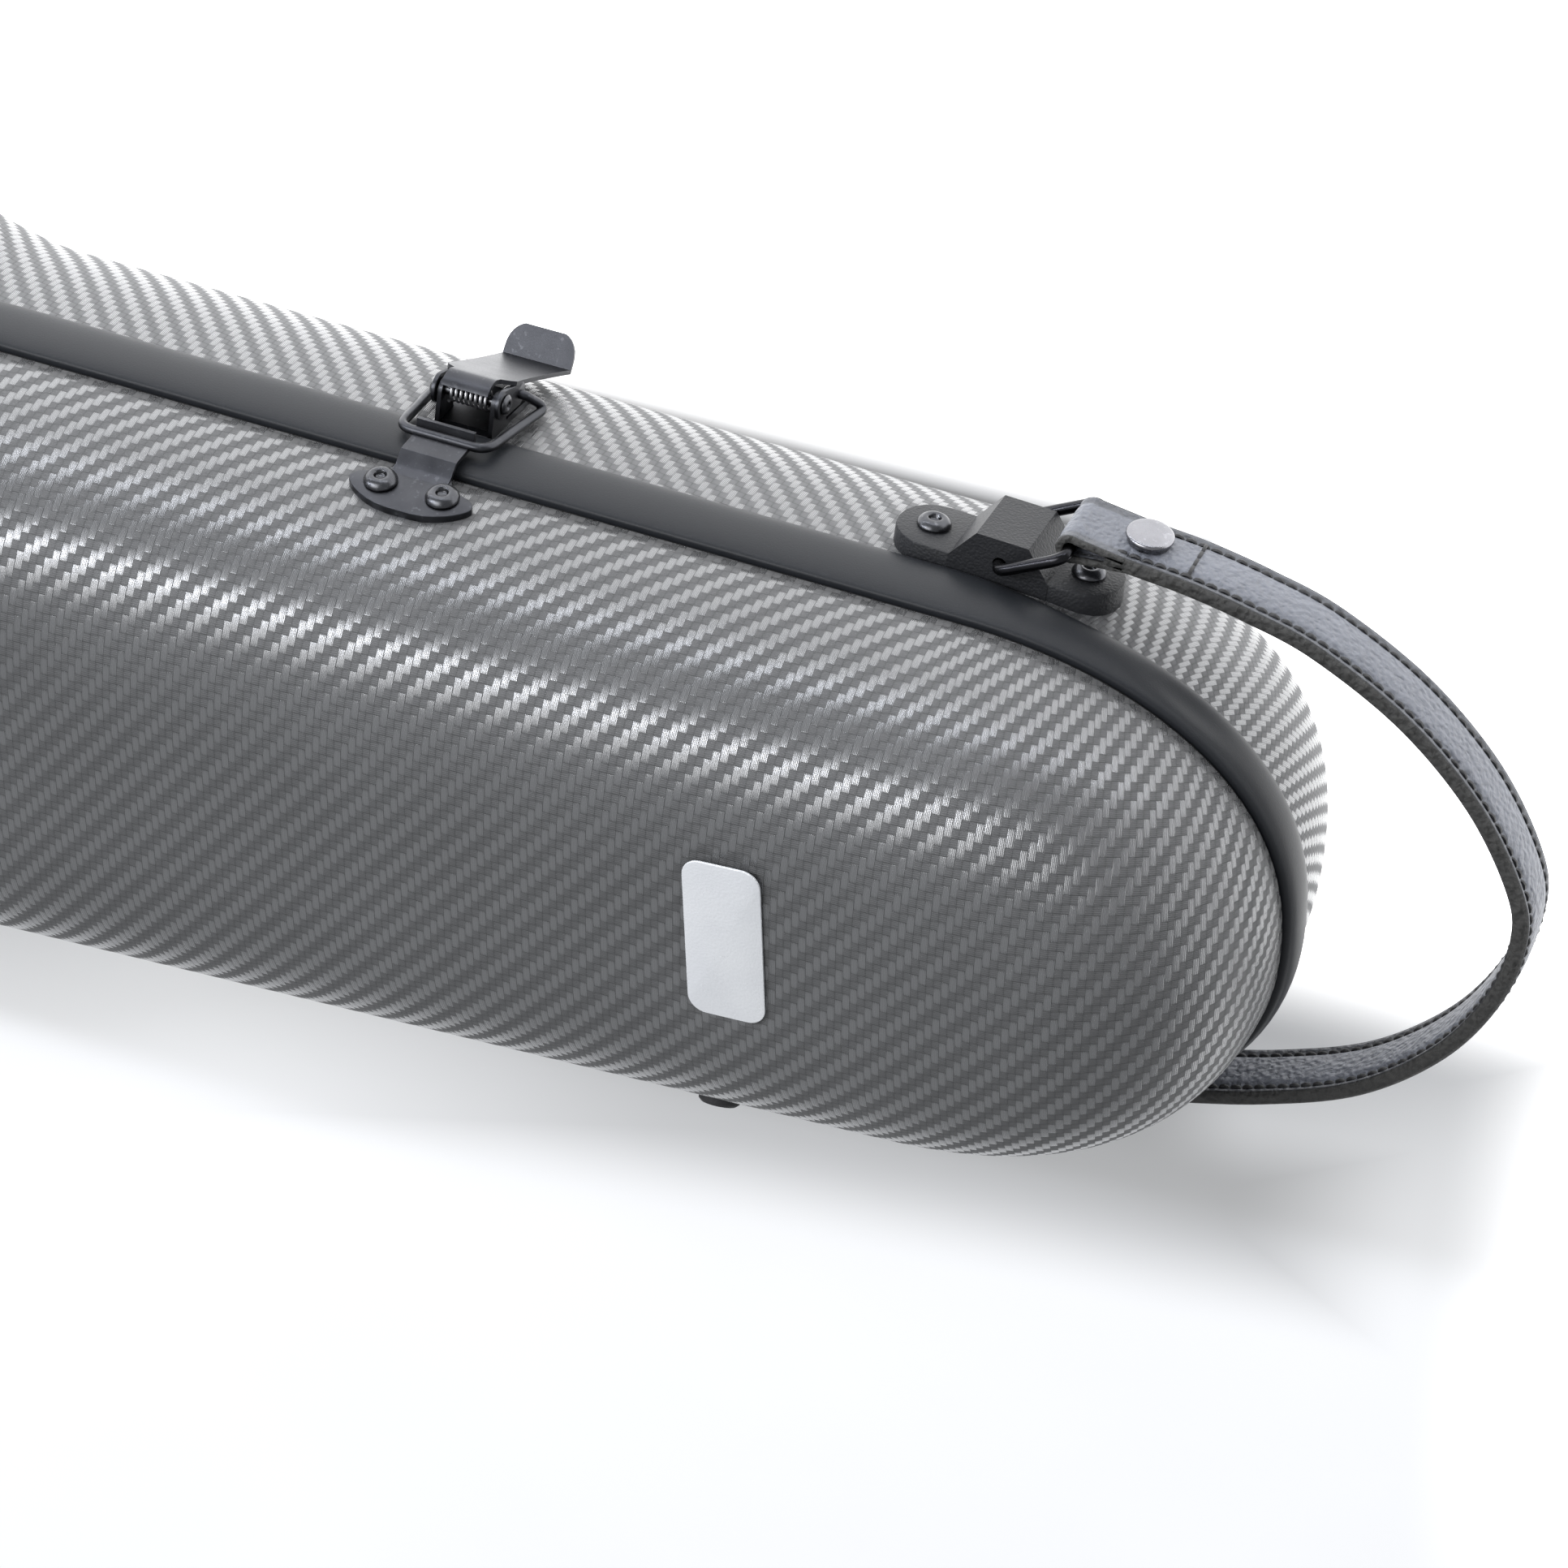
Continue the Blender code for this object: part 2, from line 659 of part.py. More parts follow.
def well_cutters():
    """The instrument's well, its neck slot and the pocket, each open at the top."""
    top = BASE_LINING_TOP + OVERRUN
    one_side = [
        (CASE_LENGTH / 2 - WELL_START - WELL_LENGTH * along, WELL_WIDTH / 2 * across)
        for along, across in WELL_SHARES
    ]
    other_side = [(x, -y) for x, y in reversed(one_side[1:-1])]
    height = top - WELL_FLOOR
    well = cutter("well_cutter", flat_mesh(one_side + other_side, height))
    well.location.z = WELL_FLOOR + height / 2
    slot_end = WELL_START + WELL_LENGTH / 2
    slot_length = slot_end - NECK_SLOT_START
    slot_height = top - NECK_SLOT_FLOOR
    slot = cutter("neck_slot_cutter", box_mesh((slot_length, NECK_SLOT_WIDTH, slot_height)))
    slot.location = (CASE_LENGTH / 2 - (NECK_SLOT_START + slot_end) / 2, 0, NECK_SLOT_FLOOR + slot_height / 2)
    pocket_height = top - POCKET_FLOOR
    outline = rounded_box_outline(POCKET_LENGTH, POCKET_WIDTH, POCKET_CORNER)
    pocket = cutter("pocket_cutter", flat_mesh(outline, pocket_height))
    pocket.location.x = CASE_LENGTH / 2 - POCKET_START - POCKET_LENGTH / 2
    pocket.location.z = POCKET_FLOOR + pocket_height / 2
    return well, slot, pocket


def base_lining():
    rings = base_rings(SHELL_WALL + LINING_GAP, BASE_LINING_TOP, LINING_STEPS)
    made = place("base_lining", finish(loft(rings, True, True)), looks["velvet"])
    mirror_half(made)
    for shape in well_cutters():
        boolean(made, shape)


def lid_lining():
    rings = lid_rings(SHELL_WALL + LINING_GAP, LID_GAP, LINING_STEPS)
    made = place("lid_lining", finish(loft(rings, cap_last=True)), looks["velvet"])
    made.data.flip_normals()
    mirror_half(made)
    solidify(made, LID_LINING, -1.0)


def rivet(name, matrix):
    """A hollow rivet head, turned about its own Z, with its foot at zero."""
    profile = [(RIVET_HEAD * across, RIVET_RISE * up) for across, up in RIVET_SHARES]
    made = turned(name, profile, looks["rivet"])
    made.matrix_world = matrix
    return made


def strip_mesh(rows):
    """A bent sheet across the latch's middle plane, from rows of (below, out, half width)."""
    rings = [[Vector((side * half, out, -below)) for side in (-1, 1)] for below, out, half in rows]
    return finish(loft(rings))


def latch_mount(name, frame):
    """The plate riveted to the base wall below the band, with two ears that hold the pin."""
    plate = [(MOUNT_START, -wall_inset(MOUNT_START) - OVERRUN)]
    steps = 4
    for k in range(steps + 1):
        below = MOUNT_START + (MOUNT_END - MOUNT_START) * k / steps
        plate.append((below, MOUNT_PLATE - wall_inset(below)))
    plate.append((MOUNT_END, -wall_inset(MOUNT_END) - OVERRUN))
    made = place(name, flat_mesh(plate, 2 * MOUNT_HALF, turn=SECTION), looks["steel"], frame)
    pin = (PIN_BELOW, PIN_OUT)
    foot_half = MOUNT_EYE + MOUNT_PLATE
    ear = arc(pin, MOUNT_EYE, 0, 180, 8)
    ear += [(PIN_BELOW - foot_half, 0), (PIN_BELOW + foot_half, 0)]
    bore = round_hole(pin, PIN_RADIUS + CLEARANCE)
    for side in (-1, 1):
        mesh = flat_mesh(ear, MOUNT_SHEET, (bore,), SECTION)
        part_of = cutter(f"{name}_ear_{side}", mesh, frame)
        part_of.location.x = side * (MOUNT_HALF - MOUNT_SHEET / 2)
        boolean(made, part_of, "UNION")
    boolean(made, base_envelope)
    boolean(made, band_envelope)
    return made


def latch_pin(name, frame):
    """The headed pin that carries the lever and the spring in the two ears."""
    seat = MOUNT_HALF + LEVER_SHEET + 2 * CLEARANCE
    top = seat + PIN_HEAD_RISE
    edge = PIN_HEAD - PIN_HEAD_RISE / 2
    profile = [(0, top), (edge, top), (PIN_HEAD, seat), (PIN_RADIUS, seat)]
    profile += [(radius, -height) for radius, height in reversed(profile)]
    made = turned(name, profile, looks["rivet"], frame)
    made.matrix_local = Matrix.Translation((0, PIN_OUT, -PIN_BELOW)) @ Matrix.Rotation(math.pi / 2, 4, "Y")
    return made


def latch_lever(name, frame):
    """The pressed lever: a curl over the spring, a flaring plate, a turned-up tab and two cheeks."""
    pin = (PIN_BELOW, PIN_OUT)
    curl = arc(pin, LEVER_EYE, 165, 72, 4)
    rows = [(below, out, LEVER_CURL_HALF) for below, out in curl]
    bend = Vector((LEVER_BEND_BELOW, LEVER_BEND_OUT))
    start = Vector(curl[-1])
    cheek_side = MOUNT_HALF + CLEARANCE + LEVER_SHEET
    for share, half in LEVER_FLARE_SHARES:
        spot = start.lerp(bend, share)
        rows.append((spot.x, spot.y, half * cheek_side))
    rise = math.radians(TAB_RISE_DEG)
    for share, half in TAB_SHARES:
        spot = bend + Vector((math.cos(rise), math.sin(rise))) * TAB_LENGTH * share
        rows.append((spot.x, spot.y, half * cheek_side))
    made = place(name, strip_mesh(rows), looks["steel"], frame)
    solidify(made, LEVER_SHEET)
    tail = (BAIL_PIVOT_BELOW, BAIL_PIVOT_OUT)
    cheek = arc(pin, LEVER_EYE, 90, 270, 8) + arc(tail, LEVER_TAIL_EYE, -90, 90, 8)
    holes = (round_hole(pin, PIN_RADIUS + CLEARANCE), round_hole(tail, BAIL_WIRE + CLEARANCE))
    for side in (-1, 1):
        mesh = flat_mesh(cheek, LEVER_SHEET, holes, SECTION)
        part_of = cutter(f"{name}_cheek_{side}", mesh, frame)
        part_of.location.x = side * (MOUNT_HALF + CLEARANCE + LEVER_SHEET / 2)
        boolean(made, part_of, "UNION")
    applied(made)
    return seat_origin(made, (0, PIN_OUT, -PIN_BELOW))


def seat_origin(made, spot):
    """Moves the object's origin to a spot of its parent's frame, with the shape left where it is."""
    made.data.transform(Matrix.Translation(-Vector(spot)))
    made.location = spot
    return made


def latch_bail(name, frame):
    """The wire loop that pulls the keeper's hook, with both ends turned into the lever's cheeks."""
    end = MOUNT_HALF - CLEARANCE
    one_side = [
        (end, BAIL_PIVOT_OUT, -BAIL_PIVOT_BELOW),
        (BAIL_END_HALF, BAIL_PIVOT_OUT, -BAIL_PIVOT_BELOW),
        (BAIL_TAIL_HALF, BAIL_TAIL_OUT, -BAIL_TAIL_BELOW),
        (BAIL_HALF, BAIL_OUT, -BAIL_BELOW),
    ]
    corners = one_side + [(-x, y, z) for x, y, z in reversed(one_side)]
    pivot = Vector((0, BAIL_PIVOT_OUT, -BAIL_PIVOT_BELOW))
    path = [point - pivot for point in rounded_path(corners, BAIL_CORNER)]
    made = wire(name, path, BAIL_WIRE, looks["steel"], frame)
    made.location = pivot
    return made


def spring_points():
    """The torsion spring's centre line about the pin, from a short toe inside the lever's curl to its leg."""
    half = SPRING_TURNS * SPRING_PITCH / 2
    count = SPRING_TURNS * SPRING_POINTS
    coil = []
    for k in range(count + 1):
        angle = 2 * math.pi * k / SPRING_POINTS
        coil.append(
            Vector((
                -half + 2 * half * k / count,
                -SPRING_RADIUS * math.cos(angle),
                -SPRING_RADIUS * math.sin(angle),
            ))
        )
    toe = Vector((0, 0, SPRING_TOE))
    leg = Vector((0, 0, -SPRING_LEG))
    return [coil[0] + toe, *coil, coil[-1] + leg]


def least_self_gap(points, wire_radius, apart):
    """The least gap between stretches of one wire that lie more than the given points apart."""
    least = math.inf
    for k, one in enumerate(points):
        for other in points[k + apart:]:
            least = min(least, (one - other).length)
    return least - 2 * wire_radius


def latch_spring(name, frame):
    points = spring_points()
    made = wire(name, points, SPRING_WIRE, looks["spring"], frame, resolution=1)
    made.location = (0, PIN_OUT, -PIN_BELOW)
    gap = least_self_gap(points[1:-1], SPRING_WIRE, SPRING_POINTS // 2)
    print(f"{name}: least gap between turns {gap * 1000:.2f} mm")
    return made


def keeper(name, frame):
    """The keeper plate riveted to the lid, whose tongue passes over the band and ends in a hook."""
    one_side = [(KEEPER_HALF * across, KEEPER_TOP * up) for across, up in KEEPER_SHARES]
    outline = one_side + [(-x, y) for x, y in reversed(one_side[:-1])]
    depth = 2 * (lid_inset(KEEPER_TOP) + KEEPER_SHEET + OVERRUN)
    stand = Matrix.Rotation(math.pi / 2, 4, "X")
    body = place(name, flat_mesh(outline, depth, turn=stand), looks["steel"], frame)
    room = (2 * (KEEPER_HALF + OVERRUN), depth, 2 * (KEEPER_TOP + OVERRUN))
    trim = cutter(f"{name}_face", box_mesh(room), frame)
    trim.matrix_local = keeper_lean() @ Matrix.Translation((0, KEEPER_SHEET + depth / 2, 0))
    boolean(body, trim)
    hook_below = BAIL_BELOW + BAIL_WIRE + HOOK_GAP + KEEPER_SHEET / 2
    over = BAND_PROUD + 2 * CLEARANCE + KEEPER_SHEET / 2
    low = CLEARANCE * 2 + KEEPER_SHEET / 2
    rows = [
        (-KEEPER_RISE, low, TONGUE_HALF),
        (-KEEPER_FOOT, low, TONGUE_HALF),
        (-KEEPER_FOOT + BAND_PROUD, over, TONGUE_HALF),
        (hook_below - KEEPER_SHEET, over, TONGUE_HALF),
        (hook_below, over + KEEPER_SHEET / 2, HOOK_HALF),
        (hook_below + KEEPER_SHEET / 2, over + HOOK_HEIGHT, HOOK_HALF),
    ]
    tongue = cutter(f"{name}_tongue", strip_mesh(rows), frame)
    solidify(tongue, KEEPER_SHEET)
    boolean(body, tongue, "UNION")
    boolean(body, lid_envelope)
    boolean(body, band_envelope)
    return body


def keeper_lean():
    """The keeper plate's outer face, which leans in with the lid wall."""
    drawn = lid_inset(KEEPER_TOP) - lid_inset(KEEPER_FOOT)
    lean = math.atan2(drawn, KEEPER_TOP - KEEPER_FOOT)
    spot = Vector((0, CLEARANCE * 2 - lid_inset(KEEPER_RISE) / 2, KEEPER_RISE))
    return Matrix.Translation(spot) @ Matrix.Rotation(lean, 4, "X")


def latch(number, along):
    frame = empty(f"latch_{number}_place", wall_frame(along, BAIL_HALF))
    name = f"latch_{number}"
    latch_mount(f"{name}_mount", frame)
    latch_pin(f"{name}_pin", frame)
    latch_lever(f"{name}_lever", frame)
    latch_bail(f"{name}_bail", frame)
    latch_spring(f"{name}_spring", frame)
    keeper(f"keeper_{number}", frame)
    bpy.context.view_layer.update()
    seat = keeper_lean() @ Matrix.Translation((0, KEEPER_SHEET + CLEARANCE, 0))
    outward = Matrix.Rotation(-math.pi / 2, 4, "X")
    for side, tag in ((-1, "a"), (1, "b")):
        spot = Matrix.Translation((side * KEEPER_SPACING / 2, 0, 0))
        rivet(f"keeper_{number}_rivet_{tag}", frame.matrix_world @ spot @ seat @ outward)


def wall_slope(inset_at, spot, reach):
    """How fast a wall draws in round a height above or below the parting plane."""
    return (inset_at(spot + reach) - inset_at(spot - reach)) / (2 * reach)


def bracket_seat():
    """The bracket's seat on the wall, which leans as the wall does behind it."""
    lean = math.atan(wall_slope(wall_inset, BRACKET_BELOW, BRACKET_WIDTH / 2))
    return Matrix.Translation((0, -wall_inset(BRACKET_BELOW), 0)) @ Matrix.Rotation(-lean, 4, "X")


def bracket(name, along):
    """A moulded strap bracket on the latch side: a round-ended plate with a faceted block for the ring."""
    frame = empty(f"{name}_place", wall_frame(along, BRACKET_RIVETS / 2, BRACKET_BELOW))
    seat = empty(f"{name}_seat", bracket_seat(), frame)
    stand = Matrix.Rotation(math.pi / 2, 4, "X")
    depth = BRACKET_PLATE + 2 * OVERRUN
    end = BRACKET_WIDTH / 2 - CLEARANCE
    outline = rounded_box_outline(BRACKET_LENGTH, BRACKET_WIDTH, end, 5)
    made = place(name, flat_mesh(outline, depth, turn=stand), looks["plastic"], seat)
    made.data.transform(Matrix.Translation((0, BRACKET_PLATE - depth / 2, 0)))
    bevel(made, BRACKET_PLATE / 4)
    brow = BRACKET_PLATE - CLEARANCE
    one_side = [(BLOCK_FOOT / 2, -OVERRUN), (BLOCK_FOOT / 2, brow), (BLOCK_TOP / 2, BLOCK_OUT)]
    block = [(BLOCK_SHIFT + x, y) for x, y in one_side]
    block += [(BLOCK_SHIFT - x, y) for x, y in reversed(one_side)]
    raised = cutter(f"{name}_block", flat_mesh(block, BRACKET_WIDTH + CLEARANCE), seat)
    boolean(made, raised, "UNION")
    bore = cutter(f"{name}_bore", rod_mesh(RING_WIRE + CLEARANCE, BRACKET_WIDTH + 2 * OVERRUN), frame)
    bore.location = (RING_BAR_SHIFT, RING_BAR_OUT, 0)
    boolean(made, bore)
    boolean(made, base_envelope)
    boolean(made, band_envelope)
    return frame, made


def ring(name, frame):
    """The wire ring: its bar turns in the block, and its far side holds the strap."""
    rise = math.radians(RING_RISE_DEG)
    far = Vector((math.cos(rise), math.sin(rise), 0)) * RING_REACH
    up = Vector((0, 0, RING_HALF))
    corners = [up, up + far, far - up, -up]
    path = rounded_path(corners, RING_CORNER, closed=True)
    made = wire(name, path, RING_WIRE, looks["steel"], frame, closed=True)
    made.location = (RING_BAR_SHIFT, RING_BAR_OUT, 0)
    return made


def bracket_rivets(name, frame):
    bpy.context.view_layer.update()
    outward = Matrix.Rotation(-math.pi / 2, 4, "X")
    made = []
    for side, tag in ((-1, "a"), (1, "b")):
        spot = Matrix.Translation((side * BRACKET_RIVETS / 2, BRACKET_PLATE + CLEARANCE, 0))
        made.append(rivet(f"{name}_rivet_{tag}", frame.matrix_world @ bracket_seat() @ spot @ outward))
    return made


def ring_far_point(frame):
    """Where the middle of the ring's far side lies, in the case's own frame."""
    rise = math.radians(RING_RISE_DEG)
    far = Vector((math.cos(rise), math.sin(rise), 0)) * RING_REACH
    return frame.matrix_world @ (Vector((RING_BAR_SHIFT, RING_BAR_OUT, 0)) + far)


def smooth_route(points, spacing):
    """Evenly spaced points on a smooth curve through the given ones."""
    knots = [Vector(p) for p in points]
    knots = [2 * knots[0] - knots[1], *knots, 2 * knots[-1] - knots[-2]]
    fine = []
    for a, b, c, d in zip(knots, knots[1:], knots[2:], knots[3:]):
        for k in range(12):
            t = k / 12
            bend = 2 * a - 5 * b + 4 * c - d
            twist = 3 * b - a - 3 * c + d
            fine.append((2 * b + (c - a) * t + bend * t**2 + twist * t**3) / 2)
    fine.append(knots[-2])
    route = [fine[0]]
    for point in fine[1:-1]:
        if (point - route[-1]).length >= spacing:
            route.append(point)
    if (fine[-1] - route[-1]).length < spacing / 2:
        route.pop()
    return [*route, fine[-1]]


def strap(frame):
    """The neck strap: one outline with an eye round each ring's far side, extruded to the strap's width."""
    near = ring_far_point(frame)
    eyes = [Vector((near.x, near.y)), Vector((near.x, -near.y))]
    half = NARROW_WIDTH / 2
    bends = [
        (CASE_LENGTH / 2 - along, half * share + shift)
        for (along, shift), share in zip(STRAP_ROUTE, STRAP_ACROSS_SHARES)
    ]
    route = smooth_route([eyes[0], *bends, eyes[1]], STRAP_SPACING)
    inner_radius = RING_WIRE + CLEARANCE
    outer_radius = inner_radius + STRAP_THICKNESS / 2
    half = STRAP_THICKNESS / 2
    left, right = [], []
    for before, here, after in zip(route, route[1:], route[2:]):
        run = (after - before).normalized()
        side = Vector((-run.y, run.x))
        left.append(here + side * half)
        right.append(here - side * half)
    ends = []
    for eye, next_point in ((eyes[0], route[1]), (eyes[1], route[-2])):
        run = next_point - eye
        heading = math.degrees(math.atan2(run.y, run.x))
        ends.append(arc(eye, outer_radius, heading + EYE_OPEN_DEG, heading + 360 - EYE_OPEN_DEG, 12))
    outline = [tuple(p) for p in ends[0]] + [tuple(p) for p in right]
    outline += [tuple(p) for p in ends[1]] + [tuple(p) for p in reversed(left)]
    holes = [round_hole(eye, inner_radius) for eye in eyes]
    made = place("neck_strap", flat_mesh(outline, STRAP_WIDTH, holes), looks["leather"])
    made.location.z = PARTING - BRACKET_BELOW
    return route


def strap_snap(name, route, side):
    """A press stud cap on the strap's outer face, just past the eye."""
    line = route if side > 0 else list(reversed(route))
    spot = min(line, key=lambda p: abs((p - line[0]).length - SNAP_SETBACK))
    place_in = line.index(spot)
    run = (line[place_in + 1] - line[place_in - 1]).normalized()
    outward = Vector((-run.y, run.x)) * side
    seat = spot + outward * (STRAP_THICKNESS / 2 + SNAP_SEAT)
    profile = [(SNAP_RADIUS * wide, SNAP_HEIGHT * up) for wide, up in SNAP_SHARES]
    made = turned(name, profile, looks["chrome"])
    facing = Vector((outward.x, outward.y, 0)).to_track_quat("Z", "Y").to_matrix().to_4x4()
    made.matrix_world = Matrix.Translation((seat.x, seat.y, PARTING - BRACKET_BELOW)) @ facing


def hinge(number, along):
    """One hinge on the hinge side: two bent leaves whose knuckles share a pin on the lid's axis."""
    spot = Matrix.Translation((CASE_LENGTH / 2 - along, -half_width(along), PARTING))
    frame = empty(f"hinge_{number}_place", spot @ Matrix.Rotation(math.pi, 4, "Z"))
    across = Matrix.Rotation(math.pi / 2, 4, "Y")
    axis = Vector((0, HINGE_AXIS_OUT, 0))
    half = HINGE_LENGTH / 2
    on_band = BAND_PROUD + CLEARANCE + HINGE_SHEET / 2
    on_wall = CLEARANCE + HINGE_SHEET / 2

    band_end = BAND_HEIGHT + BAND_SKIRT
    base_rows = [(0.0, on_band, half), (band_end - HINGE_SHEET, on_band, half)]
    steps = 4
    for k in range(steps + 1):
        below = band_end + BAND_PROUD + (HINGE_BASE_LEAF - band_end - BAND_PROUD) * k / steps
        base_rows.append((below, on_wall - wall_inset(below), half))
    lid_rows = [(0.0, on_band, half), (-KNUCKLE, on_band, half)]
    for k in range(steps + 1):
        above = 2 * KNUCKLE + (HINGE_LID_LEAF - 2 * KNUCKLE) * k / steps
        lid_rows.append((-above, on_wall - lid_inset(above), half))

    middle = HINGE_MIDDLE / 2
    outer_centre = (half + middle) / 2
    outer_length = half - middle - CLEARANCE
    knuckle_places = {
        "base": ((-outer_centre, outer_length), (outer_centre, outer_length)),
        "lid": ((0.0, HINGE_MIDDLE - CLEARANCE),),
    }
    for owner, rows, rival in (("base", base_rows, "lid"), ("lid", lid_rows, "base")):
        name = f"hinge_{number}_{owner}_leaf"
        made = place(name, strip_mesh(rows), looks["steel"], frame)
        solidify(made, HINGE_SHEET)
        for k, (centre, length) in enumerate(knuckle_places[owner]):
            roll = cutter(f"{name}_roll_{k}", rod_mesh(KNUCKLE, length, across), frame)
            roll.location = axis + Vector((centre, 0, 0))
            boolean(made, roll, "UNION")
        for k, (centre, length) in enumerate(knuckle_places[rival]):
            mesh = rod_mesh(KNUCKLE + CLEARANCE, length + 2 * CLEARANCE, across)
            room = cutter(f"{name}_room_{k}", mesh, frame)
            room.location = axis + Vector((centre, 0, 0))
            boolean(made, room)
        bore = cutter(f"{name}_bore", rod_mesh(HINGE_PIN + CLEARANCE, HINGE_LENGTH + OVERRUN, across), frame)
        bore.location = axis
        boolean(made, bore)
        for shape in (base_envelope, band_envelope, lid_envelope):
            boolean(made, shape)
    pin = place(f"hinge_{number}_pin", rod_mesh(HINGE_PIN, HINGE_LENGTH, across), looks["rivet"], frame)
    pin.location = axis


def handle():
    """The carrying handle: a stiff bow with a padded grip, and two holders that its ends turn in."""
    frame = empty("handle_place", wall_frame(HANDLE_PLACE, HANDLE_SPAN / 2, HANDLE_BELOW))
    half = HANDLE_SPAN / 2
    pivot = Vector((0, HANDLE_OUT, 0))
    end = half + HOLDER_WIDTH / 2 - HOLDER_CAP - CLEARANCE
    across = Matrix.Rotation(math.pi / 2, 4, "Y")
    drop = Vector((0, 0, -HANDLE_DROP))
    inner = half - HOLDER_WIDTH / 2 - CLEARANCE - HANDLE_WIRE
    one_side = [(end, 0, 0), (inner, 0, 0), (inner, 0, -HANDLE_DROP)]
    corners = one_side + [(-x, y, z) for x, y, z in reversed(one_side)]
    bow = wire("handle_bow", rounded_path(corners, HANDLE_CORNER), HANDLE_WIRE, looks["steel"], frame)
    bow.location = pivot
    grip = place("handle_grip", rod_mesh(GRIP_RADIUS, GRIP_LENGTH, across), looks["leather"], frame)
    grip.location = pivot + drop
    tunnel = cutter("handle_tunnel", rod_mesh(HANDLE_WIRE + CLEARANCE, GRIP_LENGTH + OVERRUN, across), frame)
    tunnel.location = pivot + drop
    bevel(grip, GRIP_RADIUS / 3, 1)
    boolean(grip, tunnel)
    for side, tag in ((1, "a"), (-1, "b")):
        outline = rounded_box_outline(HOLDER_HEIGHT, 2 * HOLDER_OUT, HOLDER_CORNER)
        mesh = flat_mesh(outline, HOLDER_WIDTH, turn=SECTION)
        holder = place(f"handle_holder_{tag}", mesh, looks["plastic"], frame)
        holder.location.x = side * half
        bore = cutter(f"handle_bore_{tag}", rod_mesh(HANDLE_WIRE + CLEARANCE, HOLDER_WIDTH, across), frame)
        bore.location = pivot + Vector((side * (half - HOLDER_CAP), 0, 0))
        boolean(holder, bore)
        boolean(holder, base_envelope)
        boolean(holder, band_envelope)


def foot(name, along, height, inset_at, envelope):
    """A round rubber stud on the hinge side, square to the wall, for when the case stands on its edge."""
    away = abs(height)
    lean = math.atan(wall_slope(inset_at, away, FOOT_RADIUS)) * (1 if height > 0 else -1)
    wall = half_width(along) - inset_at(away)
    depth = FOOT_HEIGHT + OVERRUN
    outwards = Matrix.Rotation(math.pi / 2 - lean, 4, "X")
    made = place(name, rod_mesh(FOOT_RADIUS, depth), looks["rubber"])
    made.data.transform(Matrix.Translation((0, 0, FOOT_HEIGHT - depth / 2)))
    made.matrix_world = Matrix.Translation((CASE_LENGTH / 2 - along, -wall, PARTING + height)) @ outwards
    bevel(made, FOOT_HEIGHT / 3, 1)
    boolean(made, envelope)


def feet():
    for number, along in enumerate(FOOT_PLACES, 1):
        foot(f"lid_foot_{number}", along, FOOT_ABOVE, lid_inset, lid_envelope)
        foot(f"base_foot_{number}", along, -FOOT_BELOW, wall_inset, base_envelope)


def badge():
    """The badge plate on the flat of the lid, with nothing on it."""
    outline = rounded_box_outline(BADGE_WIDTH, BADGE_LENGTH, BADGE_CORNER)
    made = place("badge_plate", flat_mesh(outline, 2 * BADGE_RISE), looks["badge"])
    made.location = (CASE_LENGTH / 2 - BADGE_PLACE, BADGE_SHIFT, PARTING + LID_DEPTH + CLEARANCE)
    made.rotation_euler.z = math.radians(BADGE_TURN_DEG)
    boolean(made, lid_envelope)


def bow_holder(name, along, across):
    """A turning wing on a stem below the lid's lining."""
    ceiling = PARTING + LID_DEPTH - SHELL_WALL - LINING_GAP - LID_LINING - CLEARANCE
    outline = rounded_box_outline(HOLD_WING_LENGTH, HOLD_WING_WIDTH, HOLD_WING_WIDTH / 2 - CLEARANCE)
    made = place(name, flat_mesh(outline, HOLD_WING_HEIGHT), looks["plastic"])
    made.data.transform(Matrix.Translation((0, 0, -HOLD_STEM_HEIGHT - HOLD_WING_HEIGHT / 2)))
    stem_length = HOLD_STEM_HEIGHT + HOLD_WING_HEIGHT / 2
    stem = cutter(f"{name}_stem", rod_mesh(HOLD_STEM_RADIUS, stem_length), made)
    stem.location.z = -stem_length / 2
    boolean(made, stem, "UNION")
    made.location = (CASE_LENGTH / 2 - along, across, ceiling)


clear_scene()
parts = new_collection("violin_case")
cutters = new_collection("cutters")
looks = {
    "shell": material("woven_shell", (0.12, 0.125, 0.135), 0.38, 0.35),
    "band": material("band_rubber", (0.045, 0.047, 0.052), 0.45),
    "seal": material("seal_rubber", (0.008, 0.008, 0.008), 0.8),
    "velvet": material("lining_velvet", (0.03, 0.03, 0.034), 0.95),
    "steel": material("black_steel", (0.02, 0.021, 0.023), 0.32, 0.8),
    "rivet": material("dark_rivet", (0.16, 0.16, 0.17), 0.25, 1.0),
    "spring": material("spring_steel", (0.08, 0.08, 0.085), 0.3, 1.0),
    "plastic": material("bracket_plastic", (0.03, 0.031, 0.034), 0.55),
    "leather": material("grey_leather", (0.16, 0.17, 0.19), 0.6),
    "chrome": material("snap_chrome", (0.8, 0.8, 0.82), 0.12, 1.0),
    "rubber": material("foot_rubber", (0.015, 0.015, 0.016), 0.7),
    "badge": material("badge_white", (0.8, 0.8, 0.8), 0.35),
}
base_envelope, band_envelope, lid_envelope = envelopes()
base_shell()
lid_shell()
rim_band()
rim_seal()
base_lining()
lid_lining()
for latch_number, latch_along in enumerate(LATCH_PLACES, 1):
    latch(latch_number, latch_along)
